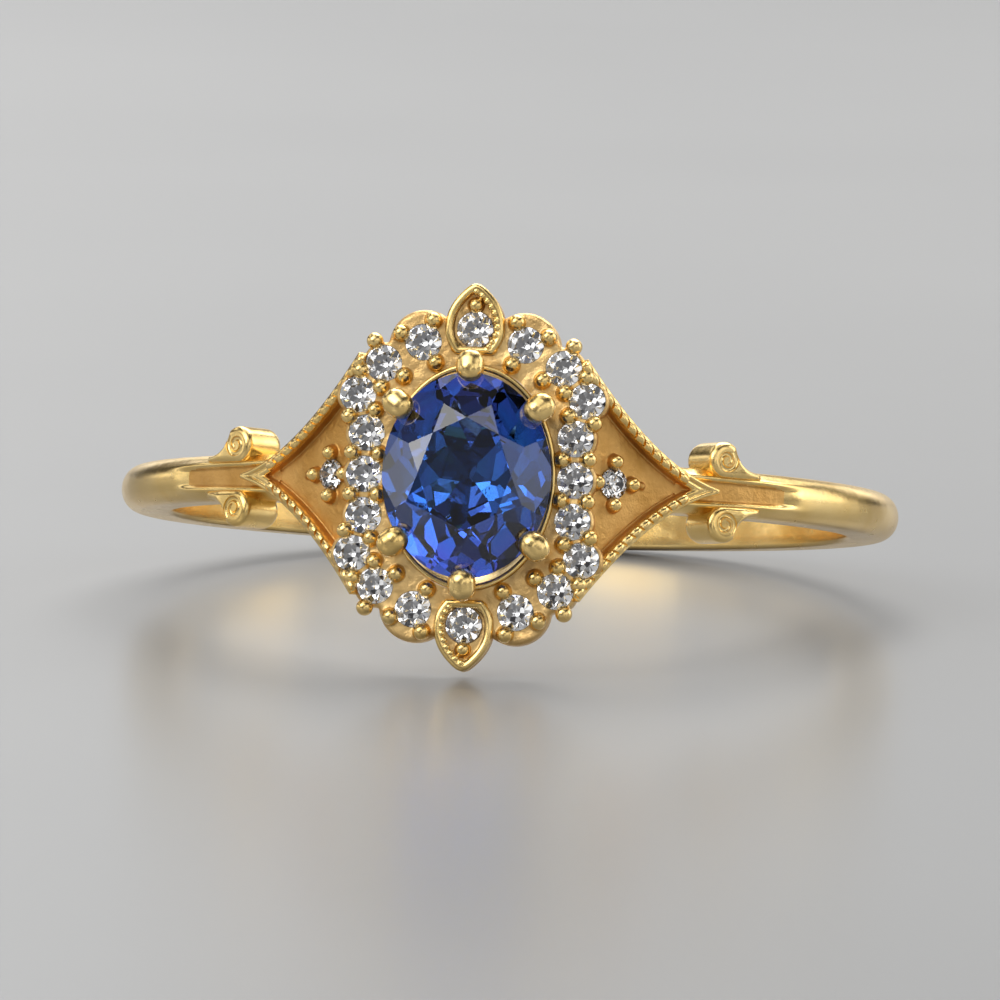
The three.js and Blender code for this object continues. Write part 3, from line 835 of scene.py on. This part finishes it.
def band_corner():
    """The eased corner between the band's inside and its upper side: points of (radius, height)."""
    corner = []
    for i in range(1, BAND_CORNER_STEPS + 1):
        turn = i * math.pi / (2 * BAND_CORNER_STEPS)
        corner.append((
            INNER_RADIUS + BAND_INNER_EASE * (1 - math.cos(turn)),
            half_band - BAND_INNER_EASE * (1 - math.sin(turn)),
        ))
    return corner


def with_channel(radius, height, share):
    """The radius of a point of the band's face, once the channel and its two rails are there."""
    half_channel = CHANNEL_HALF_WIDTH - CHANNEL_NARROWING * share
    opening = smoothstep(share, *CHANNEL_OPENS)
    open_share = opening * (1 - smoothstep(share, *CHANNEL_CLOSES))
    edges = (half_channel - CHANNEL_EDGE[0], half_channel + CHANNEL_EDGE[1])
    inside = 1 - smoothstep(abs(height), *edges)
    rail = math.exp(-(((abs(height) - half_channel - RAIL_OFFSET) / RAIL_HALF_WIDTH) ** 2))
    lift = RAIL_HEIGHT * (1 - smoothstep(share, *RAIL_ENDS))
    target = min(radius, outer_radius - CHANNEL_DEPTH)
    radius += (target - radius) * inside * open_share
    return radius + rail * lift * opening


def with_seat(section, turn):
    """The band's section, cut down to the head's flat seat near the front."""
    if turn >= SEAT_TURN:
        return section
    across = seat_level * math.tan(turn)
    sunk = 1 - smoothstep(across, SEAT_HALF_WIDTH - SEAT_EASE, SEAT_HALF_WIDTH + SEAT_EASE)
    ceiling = seat_level / math.cos(turn)
    return [
        (radius + (min(radius, ceiling) - radius) * sunk, height)
        for radius, height in section
    ]


def band_section(angle):
    """The band's section at a turn from the head: points of (radius, height)."""
    section = [
        (INNER_RADIUS, height * (half_band - BAND_INNER_EASE))
        for height in (1.0, 0.5, 0.0, -0.5, -1.0)
    ]
    corner = band_corner()
    section += [(radius, -height) for radius, height in corner]
    section.append((side_radius - BAND_SIDE_DROP, -half_band))
    turn = abs(angle)
    end = scroll_angle + CHANNEL_LENGTH / outer_radius
    share = (turn - kite_tip_angle) / (end - kite_tip_angle)
    for i in range(BAND_FACE_STEPS + 1):
        around = (i / BAND_FACE_STEPS - 0.5) * math.pi
        height = half_band * math.sin(around)
        radius = side_radius + (outer_radius - side_radius) * math.cos(around)
        section.append((with_channel(radius, height, share), height))
    section.append((side_radius - BAND_SIDE_DROP, half_band))
    section += [(radius, height) for radius, height in reversed(corner)]
    return with_seat(section, turn)


def make_shank():
    rows = []
    for i in range(SHANK_STEPS):
        angle = 2 * math.pi * i / SHANK_STEPS
        if angle > math.pi:
            angle -= 2 * math.pi
        rows.append([
            (radius * math.sin(angle), height, radius * math.cos(angle))
            for radius, height in band_section(angle)
        ])
    return Form().loops(rows, closed=True).mesh("shank")


def in_channel(centre):
    """Which of the band's two materials a face has: matte gold on the channel's floor, darker with
    painted shade.
    """
    turn = math.atan2(abs(centre.x), centre.z)
    start = kite_tip_angle - CHANNEL_MATTE_SHADE_LEAD
    end = scroll_angle + (CHANNEL_LENGTH - CHANNEL_MATTE_SHADE_SPARE) / outer_radius
    radius = math.hypot(centre.x, centre.z)
    deepest, shallowest = (outer_radius - CHANNEL_DEPTH * share for share in CHANNEL_MATTE_SHADE_SHARES)
    deep = deepest < radius < shallowest
    return int(start < turn < end and abs(centre.y) < CHANNEL_MATTE_SHADE_HALF_WIDTH and deep)


# ---- Scrolls ----

def on_scroll(radius, angle):
    return Vector((radius * math.cos(angle), scroll_middle + radius * math.sin(angle)))


def scroll_outline():
    """A disc with a tail along the band's edge, seen from outside, X away from the kite."""
    tail = [(along, half_band + over) for along, over in SCROLL_TAIL_CURVE]
    points = bezier([*tail, on_scroll(SCROLL_RADIUS, SCROLL_NECK)], SCROLL_TAIL_STEPS)
    for i in range(1, SCROLL_DISC_STEPS + 1):
        angle = SCROLL_NECK + (1.5 * math.pi - SCROLL_NECK) * i / SCROLL_DISC_STEPS
        points.append(on_scroll(SCROLL_RADIUS, angle))
    inner = scroll_middle - SCROLL_RADIUS
    for i in range(1, SCROLL_FOOT_STEPS + 1):
        points.append(Vector((SCROLL_TAIL * i / SCROLL_FOOT_STEPS, inner)))
    return points


def scroll_groove(level):
    """The spiral groove in a scroll's face, narrower towards its middle."""
    path = []
    radii = []
    for i in range(GROOVE_STEPS + 1):
        share = i / GROOVE_STEPS
        angle = GROOVE_START - share * GROOVE_TURNS * 2 * math.pi
        radius = SCROLL_RADIUS * (GROOVE_REACH[0] - GROOVE_REACH[1] * share)
        path.append(Vector((*on_scroll(radius, angle), level)))
        radii.append(GROOVE_RADIUS - GROOVE_THINNING * i / GROOVE_STEPS)
    return Form().tube(path, radii, 12).mesh("groove")


def make_scroll(upper):
    """A scroll, eased at its edges, grooved, and bent to follow the band's curve."""
    top = outer_radius + SCROLL_RISE
    bottom = INNER_RADIUS + SCROLL_DEPTH_SPARE
    form = Form().slab(
        scroll_outline(), bottom, top, ease=SCROLL_TOP_EASE, steps=6, bottom_ease=SCROLL_BOTTOM_EASE,
    )
    mesh = cast(form, SCROLL_VOXEL, [scroll_groove(top)], passes=4)
    for vertex in mesh.vertices:
        x, y, z = vertex.co
        along = max(x, 0.0)
        share = (z - bottom) / (top - bottom)
        fall = outer_radius - math.sqrt(outer_radius ** 2 - x * x)
        fall += (SCROLL_RISE - SCROLL_TAIL_SPARE) * smoothstep(along, SCROLL_RADIUS, SCROLL_TAIL)
        vertex.co.z = z - share * fall
        vertex.co.y = y if upper else -y
    if not upper:
        mesh.flip_normals()
    return mesh


# ---- Halo plate ----

def reach_of_disc(direction, centre, radius):
    """Distance from the origin to the far side of a disc, along a direction."""
    along = centre.dot(direction)
    left = radius ** 2 - (centre.length_squared - along ** 2)
    return 0.0 if left < 0 or along < 0 else along + math.sqrt(left)


def plate_outline():
    """The scalloped edge: the farthest reach of its body and of the lobes round the stones."""
    lobes = [(centre, melee_radius + PLATE_BORDER) for centre in four_ways(quarter_stones)]
    lobes += [(centre, LOBE_RADIUS) for centre in four_ways([quarter_stones[0] * LOBE_INSET])]
    points = []
    for x, y in circle(1.0, PLATE_STEPS):
        direction = Vector((x, y))
        body = 1 / math.hypot(
            direction.x / (halo_half[0] + PLATE_BODY_MARGIN[0]),
            direction.y / (halo_half[1] + PLATE_BODY_MARGIN[1]),
        )
        reaches = [reach_of_disc(direction, centre, radius) for centre, radius in lobes]
        points.append(direction * max(body, *reaches))
    return points


def ellipse(half_width, stretch, segments=96):
    return [
        Vector((
            half_width * math.cos(2 * math.pi * i / segments),
            half_width * stretch * math.sin(2 * math.pi * i / segments),
        ))
        for i in range(segments)
    ]


def make_plate():
    form = Form().slab(plate_outline(), plate_back, halo_face, ease=PLATE_EASE)
    flat, tall = (grain_radius * swell for swell in GRAIN_SWELL)
    for x, y in four_ways(quarter_grains()):
        form.ball((x, y, halo_face + GRAIN_LIFT), flat, height=tall)
    pits = Form()
    for x, y in halo_places():
        pit(pits, x, y, melee_level, melee_diameter)
    collar_edge = ellipse(collar_outer + COLLAR_OPENING_SPACE, collar_stretch)
    openings = Form().slab(collar_edge, plate_back - CUT_THROUGH, halo_face + CUT_THROUGH)
    for flip in (1, -1):
        outline = [Vector((flip * x, flip * y)) for x, y in petal_outline()]
        openings.slab(offset(outline, PETAL_OPENING_SPACE), petal_back, halo_face + CUT_THROUGH)
    return cast(form, PLATE_VOXEL, [pits.mesh("pits"), openings.mesh("openings")])


def on_halo_face(centre):
    """Which of the halo's two finishes a face has: satin on the flats between the stones."""
    return int(centre.z < halo_face + SATIN_TOP)


# ---- Petals ----

def petal_outline():
    """The upper petal's edge, counterclockwise, with its tip worn round."""
    left = bezier([
        (0, petal_tip_y),
        (-PETAL_FULLNESS * PETAL_HALF_WIDTH, petal_tip_y - PETAL_SHOULDER),
        (-PETAL_HALF_WIDTH, petal_stone_y + PETAL_SHOULDER),
        (-PETAL_HALF_WIDTH, petal_stone_y),
    ], PETAL_SIDE_STEPS)
    left += bezier([
        (-PETAL_HALF_WIDTH, petal_stone_y),
        (-PETAL_HALF_WIDTH, petal_stone_y - PETAL_FOOT / 2),
        (-PETAL_FOOT_HALF_WIDTH, petal_stone_y - PETAL_FOOT),
    ], PETAL_FOOT_STEPS)[1:]
    outline = left + [Vector((-x, y)) for x, y in reversed(left[1:])]
    for _ in range(PETAL_TIP_PASSES):
        outline = [
            (outline[i - 1] + outline[(i + 1) % len(outline)]) / 2
            if point.y > petal_tip_y - PETAL_TIP_REACH else point
            for i, point in enumerate(outline)
        ]
    return outline


def make_petal():
    """The upper petal: floor, raised rim, a row of beads on its right inner edge, and grains."""
    outline = petal_outline()
    floor_level = halo_face - PETAL_FLOOR_DEPTH
    rim_top = halo_face + PETAL_RIM_HEIGHT
    form = Form().slab(outline, petal_back, floor_level, ease=PETAL_FLOOR_EASE)
    form.wall(outline, PETAL_RIM, petal_back + PETAL_RIM_FOOT, rim_top, ease=PETAL_RIM_EASE)
    inner = offset(outline, -PETAL_RIM)
    lowest = petal_stone_y - PETAL_BEADS_BELOW
    path = [Vector((x, y, 0)) for x, y in inner if x > 0 and y > lowest]
    for x, y, _ in evenly(path, PETAL_BEAD_PITCH):
        form.ball((x, y, halo_face + PETAL_BEAD_RISE), PETAL_BEAD_RADIUS, segments=12, rings=8)
    grain_y = petal_stone_y + melee_radius + GRAIN_GRIP
    form.ball((0, grain_y, halo_face), grain_radius * PETAL_GRAIN_SWELL)
    x, y, rise = PETAL_FOOT_GRAIN
    for side in (-1, 1):
        place = (side * x, petal_stone_y + y, halo_face + rise)
        form.ball(place, grain_radius * PETAL_FOOT_GRAIN_SWELL)
    hollow = Form()
    pit(hollow, 0, petal_stone_y, melee_level, melee_diameter)
    return cast(form, PETAL_VOXEL, [hollow.mesh("hollow")], passes=2)


# ---- Shoulders ----

def kite_half(steps=40):
    """The kite's upper edge, from its tip to its root."""
    return bezier([
        (kite_length, KITE_TIP_HALF_HEIGHT),
        (KITE_WAIST[0] * kite_length, KITE_WAIST[1]),
        (0, kite_root_half_height),
    ], steps)


def rail_paths(inset, level):
    """Paths along both rails of a kite, an inset in from the edge; they run a little past its root."""
    half = kite_half()
    past = (half[-1] - half[-2]).normalized()
    half += [half[-1] + past * KITE_RAIL_RUN * share for share in (0.5, 1.0)]
    paths = []
    for side in (1, -1):
        path = []
        for i, point in enumerate(half):
            along = (half[min(i + 1, len(half) - 1)] - half[max(i - 1, 0)]).normalized()
            x = point.x + along.y * -inset
            y = point.y + along.x * inset
            path.append(Vector((x, side * max(y, 0.0), level)))
        paths.append(path)
    return paths


def swelling(row, steps=8):
    """Points along a row of grains and the radius at each, full in the middle of every grain."""
    points, radii = [], []
    for before, point in zip(row, row[1:]):
        for i in range(steps):
            points.append(before.lerp(point, i / steps))
            pinch = abs(math.cos(math.pi * i / steps)) ** 3
            radii.append(MILGRAIN_RADIUS - MILGRAIN_SWELL * pinch)
    return points, radii


def add_kite_walls(form):
    """The outer wall and the ledge inside it, each built up of tubes at several levels."""
    wall_inset, wall_radius = KITE_WALL_TUBE
    ledge_inset, ledge_radius = KITE_LEDGE_TUBE
    for level in KITE_WALL_LEVELS:
        for path in rail_paths(wall_inset, level):
            form.tube(path, [wall_radius] * len(path), 12)
        for path in rail_paths(ledge_inset, level - KITE_LEDGE_DROP):
            form.tube(path, [ledge_radius] * len(path), 12)


def add_milgrain(form, notches):
    """The two rows of milgrain, and the cuts between their grains."""
    for path in rail_paths(MILGRAIN_INSET, MILGRAIN_LEVEL):
        row = [point for point in evenly(path, MILGRAIN_PITCH) if abs(point.y) > MILGRAIN_END]
        form.tube(*swelling(row), 16)
        for before, point in zip(row, row[1:]):
            if abs(point.y) > NOTCH_HALF[1]:
                notches.bead(point + Vector((0, 0, MILGRAIN_RADIUS)), point - before, NOTCH_HALF)


def add_kite_grains(form):
    """Four grains round the kite's stone, and the ball beyond them."""
    reach = KITE_STONE_DIAMETER / 2 + GRAIN_GRIP
    flat, tall = (grain_radius * swell for swell in KITE_GRAIN_SWELL)
    for i in range(4):
        angle = i * math.pi / 2
        form.ball((
            kite_stone_place + reach * math.cos(angle),
            reach * math.sin(angle),
            -KITE_RECESS + KITE_GRAIN_LIFT,
        ), flat, height=tall)
    place = (kite_stone_place + KITE_BALL_SPACE, 0, -KITE_RECESS)
    form.ball(place, KITE_BALL_RADIUS, segments=14, rings=10)


def make_shoulder():
    """A kite drawn flat, from the halo outwards along X: floor, outer wall, ledge and milgrain."""
    outline = mirrored_y([*kite_half(), Vector((-KITE_ROOT_PAST, kite_root_half_height))])
    form = Form().slab(outline, -KITE_THICKNESS, -KITE_RECESS, ease=KITE_FLOOR_EASE)
    notches = Form()
    add_kite_walls(form)
    add_milgrain(form, notches)
    for path in rail_paths(KITE_FOOT_INSET, -KITE_RECESS):
        foot = [point for point in path if abs(point.y) > MILGRAIN_END]
        notches.tube(foot, [KITE_FOOT_GROOVE] * len(foot), 10)
    add_kite_grains(form)
    hollow = Form()
    pit(hollow, kite_stone_place, 0, kite_stone_level, KITE_STONE_DIAMETER)
    edge = offset(plate_outline(), -KITE_PLATE_OVERLAP)
    plate = Form().slab(edge, plate_back - CUT_THROUGH, halo_face + CUT_THROUGH)
    plate.moved(KITE_PLACE.inverted())
    cutters = [hollow.mesh("hollow"), notches.mesh("notches"), plate.mesh("plate")]
    return cast(form, KITE_VOXEL, cutters, passes=2)


KITE_EDGE = kite_half()


def on_kite_floor(centre):
    """Which of a shoulder's two materials a face has: matte gold, darker with painted shade, on the
    recessed floor and its walls.
    """
    if not -KITE_RECESS - MATTE_SHADE_BELOW_FLOOR < centre.z < MATTE_SHADE_TOP:
        return 0
    place = Vector((centre.x, abs(centre.y)))
    return int(min((place - point.xy).length for point in KITE_EDGE) > MATTE_SHADE_INSET)


# ---- Collar and claws ----

def make_collar():
    """The oval collar under the centre stone, narrower at its foot, with an eased upper edge."""
    foot = collar_outer * COLLAR_FOOT_SHARE
    foot_level = seat_level + COLLAR_FOOT_RISE
    top = halo_face + COLLAR_LIP
    bend = halo_face - PLATE_THICKNESS / 2
    middle = foot + (collar_outer - foot) * COLLAR_BEND_SHARE
    middle_level = (seat_level + bend) / 2 - COLLAR_BEND_DROP
    inner = collar_outer - COLLAR_WALL
    edge, eased, drop = COLLAR_EDGE
    profile = [
        (foot, foot_level),
        (middle, middle_level),
        (collar_outer, bend),
        (collar_outer, top - edge),
        (collar_outer - eased, top - drop),
        (collar_outer - edge, top),
        (inner + edge, top),
        (inner + eased, top - drop),
        (inner, top - edge),
        (inner, bend),
        (middle - COLLAR_WALL, middle_level),
        (foot - COLLAR_WALL, foot_level),
    ]
    rows = [
        [(x, y, level) for x, y in ellipse(radius, collar_stretch, COLLAR_STEPS)]
        for radius, level in profile
    ]
    return Form().loops(rows, closed=True).mesh("collar")


def make_claw(degrees):
    """A leaning post that swells into a rounded tip over the girdle."""
    angle = math.radians(degrees)

    def at(outside, level):
        return Vector((
            (half_sapphire[0] + outside) * math.sin(angle),
            (half_sapphire[1] + outside) * math.cos(angle),
            level,
        ))

    head = at(CLAW_OUTSIDE, girdle_level + CLAW_RISE)
    foot = at(CLAW_OUTSIDE + CLAW_LEAN, plate_back)
    bends = [foot.lerp(head, share) for share in CLAW_PATH_SHARES]
    path = bezier([foot, *bends, head], CLAW_STEPS)
    radii = []
    for i in range(CLAW_STEPS + 1):
        taper = CLAW_TAPER * smoothstep(i / CLAW_STEPS, *CLAW_TAPER_SPAN)
        radii.append(CLAW_RADIUS * (CLAW_SWELL - taper))
    form = Form().tube(path, radii, 24)
    outward = Vector((foot.x - head.x, foot.y - head.y, 0)).normalized()
    for share in (0.0, 0.5, 1.0):
        form.ball(
            head + outward * CLAW_BALL_RUN * share, CLAW_BALL_RADIUS * CLAW_BALL_SWELL,
            segments=32, rings=20,
            height=CLAW_BALL_RADIUS * (CLAW_BALL_HEIGHT - CLAW_BALL_DROOP * share),
        )
    stone = oval_sapphire()
    stone.transform(Matrix.Translation((0, 0, girdle_level)) @ Matrix.Scale(CLAW_STONE_GROWTH, 4))
    return cast(form, CLAW_VOXEL, [stone])


# ---- Assembly ----

UNTURNED = Matrix.Identity(4)


def add_gold(name, mesh, place=UNTURNED, node=None, second=None, choose=None):
    """A polished gold piece; the faces that are chosen take the second material given, which for the
    matte gold carries painted shade.
    """
    finishes = [POLISHED, second] if second else [POLISHED]
    add_piece(f"fine_{name}", mesh, place, [node or name], finishes, choose=choose)


def add_diamond(name, diameter, place):
    add_piece(
        f"fine_{name}", round_diamond(diameter), place, [name], [DIAMOND], facets=True,
    )


def add_head():
    """The centre stone in its collar, and its six claws."""
    add_gold("collar", make_collar(), node="gallery_collar")
    add_piece(
        "fine_sapphire", oval_sapphire(), Matrix.Translation((0, 0, girdle_level)),
        ["centre_sapphire"], [SAPPHIRE], facets=True,
    )
    turns = (0, CLAW_TURN, 180 - CLAW_TURN, 180, 180 + CLAW_TURN, 360 - CLAW_TURN)
    for i, degrees in enumerate(turns, 1):
        add_gold(f"prong_{i}", make_claw(degrees))


def add_side(side, half):
    """One shoulder with its two scrolls and its diamond."""
    kite = half @ KITE_PLACE
    add_gold(f"shoulder_{side}", make_shoulder(), kite, second=MATTE_SHADED, choose=on_kite_floor)
    for upper in (True, False):
        end = "upper" if upper == (side == "right") else "lower"
        add_gold(f"scroll_{side}_{end}", make_scroll(upper), half @ SCROLL_PLACE)
    place = Matrix.Translation((kite_stone_place, 0, kite_stone_level))
    add_diamond(f"shoulder_diamond_{side}", KITE_STONE_DIAMETER, kite @ place)


def build_ring():
    add_gold("shank", make_shank(), second=MATTE_SHADED, choose=in_channel)
    add_gold("halo_plate", make_plate(), second=SATIN, choose=on_halo_face)
    add_head()
    for side, half in (("right", UNTURNED), ("left", HALF_TURN)):
        add_side(side, half)
    petal_stone = Matrix.Translation((0, petal_stone_y, melee_level))
    for end, half in (("top", UNTURNED), ("bottom", HALF_TURN)):
        add_gold(f"petal_{end}", make_petal(), half, second=SATIN, choose=on_halo_face)
        add_diamond(f"petal_diamond_{end}", melee_diameter, half @ petal_stone)
    for i, (x, y) in enumerate(halo_places(), 1):
        turned = Matrix.Translation((x, y, melee_level)) @ Matrix.Rotation(UNEVEN_TURN * i, 4, "Z")
        add_diamond(f"halo_diamond_{i:02d}", melee_diameter, turned)


# ---- Floor, light and camera ----

def make_floor():
    mesh = bpy.data.meshes.new("floor")
    size = 4.0
    mesh.from_pydata(
        [(-size, -size, 0), (size, -size, 0), (size, size, 0), (-size, size, 0)],
        [], [(0, 1, 2, 3)],
    )
    mesh.materials.append(floor_material())
    floor = new_object("floor", mesh)


# Each softbox: azimuth and elevation in degrees, distance, width and height in metres, and watts
SOFTBOXES = (
    ("overhead", 170, 58, 0.26, 0.26, 0.2, 0.72),
    ("key", -38, 38, 0.5, 0.34, 0.3, 1.0),
    ("fill", 108, 20, 0.5, 0.35, 0.35, 0.6),
    ("front", -4, 18, 0.6, 0.4, 0.25, 0.045),
    ("backdrop", 180, 9, 1.2, 1.2, 0.35, 0.9),
)


def add_softbox(name, azimuth, elevation, distance, width, height, power):
    """A rectangular light aimed at the ring; azimuth 0 is in front of it."""
    light = bpy.data.lights.new(name, "AREA")
    light.shape = "RECTANGLE"
    light.size = width
    light.size_y = height
    light.energy = power
    lamp = new_object(name, light)
    turn, lift = math.radians(azimuth), math.radians(elevation)
    back = Vector((
        math.sin(turn) * math.cos(lift),
        -math.cos(turn) * math.cos(lift),
        math.sin(lift),
    ))
    lamp.location = back * distance
    lamp.rotation_mode = "QUATERNION"
    lamp.rotation_quaternion = back.to_track_quat("Z", "Y")


def make_world():
    """A dim studio with soft bright and dark patches all round, for the metal and stones to mirror."""
    world = bpy.data.worlds.new("studio")
    world.use_nodes = True
    bpy.context.scene.world = world
    nodes, links = world.node_tree.nodes, world.node_tree.links
    place = nodes.new("ShaderNodeTexCoord")
    patches = nodes.new("ShaderNodeTexNoise")
    patches.inputs["Scale"].default_value = 2.2
    patches.inputs["Detail"].default_value = 1.5
    links.new(place.outputs["Generated"], patches.inputs["Vector"])
    ramp = add_ramp(nodes, links, patches.outputs["Fac"], (
        (0.44, (0.02, 0.02, 0.025)),
        (0.51, (0.22, 0.22, 0.23)),
        (0.61, (2.2, 2.2, 2.2)),
    ))
    back = nodes["Background"]
    links.new(ramp.outputs["Color"], back.inputs["Color"])
    back.inputs["Strength"].default_value = 0.75


def make_light():
    make_world()
    for softbox in SOFTBOXES:
        add_softbox(*softbox)


CAMERA_DISTANCE = 0.2
CAMERA_AZIMUTH = 5.5
CAMERA_ELEVATION = -3.4
CAMERA_ROLL = 2.24
SENSOR = 36.0
LENS = 280.872
AIM_OFFSET = (0.000256, 0.000115)


def make_camera():
    """A long lens, a little to the right of the head and a little below the plane of the band."""
    turn, lift = math.radians(CAMERA_AZIMUTH), math.radians(CAMERA_ELEVATION)
    roll = math.radians(CAMERA_ROLL)
    rotation = RING.to_3x3().normalized()
    back = rotation @ Vector((
        math.sin(turn) * math.cos(lift),
        math.sin(lift),
        math.cos(turn) * math.cos(lift),
    ))
    right = rotation @ Vector((math.cos(turn), 0, -math.sin(turn)))
    up = back.cross(right)
    rolled_right = right * math.cos(roll) + up * math.sin(roll)
    rolled_up = up * math.cos(roll) - right * math.sin(roll)
    centre = RING.translation
    spot = centre + back * CAMERA_DISTANCE
    aim = centre - rolled_right * AIM_OFFSET[0] + rolled_up * AIM_OFFSET[1]
    lens = bpy.data.cameras.new("camera")
    lens.sensor_width = SENSOR
    lens.lens = LENS
    lens.clip_start = 0.01
    camera = new_object("camera", lens)
    axis = (spot - aim).normalized()
    across = (rolled_right - axis * rolled_right.dot(axis)).normalized()
    upright = axis.cross(across)
    camera.matrix_world = Matrix((
        (across.x, upright.x, axis.x, spot.x),
        (across.y, upright.y, axis.y, spot.y),
        (across.z, upright.z, axis.z, spot.z),
        (0, 0, 0, 1),
    ))
    bpy.context.scene.camera = camera


bpy.context.scene.view_settings.view_transform = "Standard"
build_ring()
make_floor()
make_light()
make_camera()
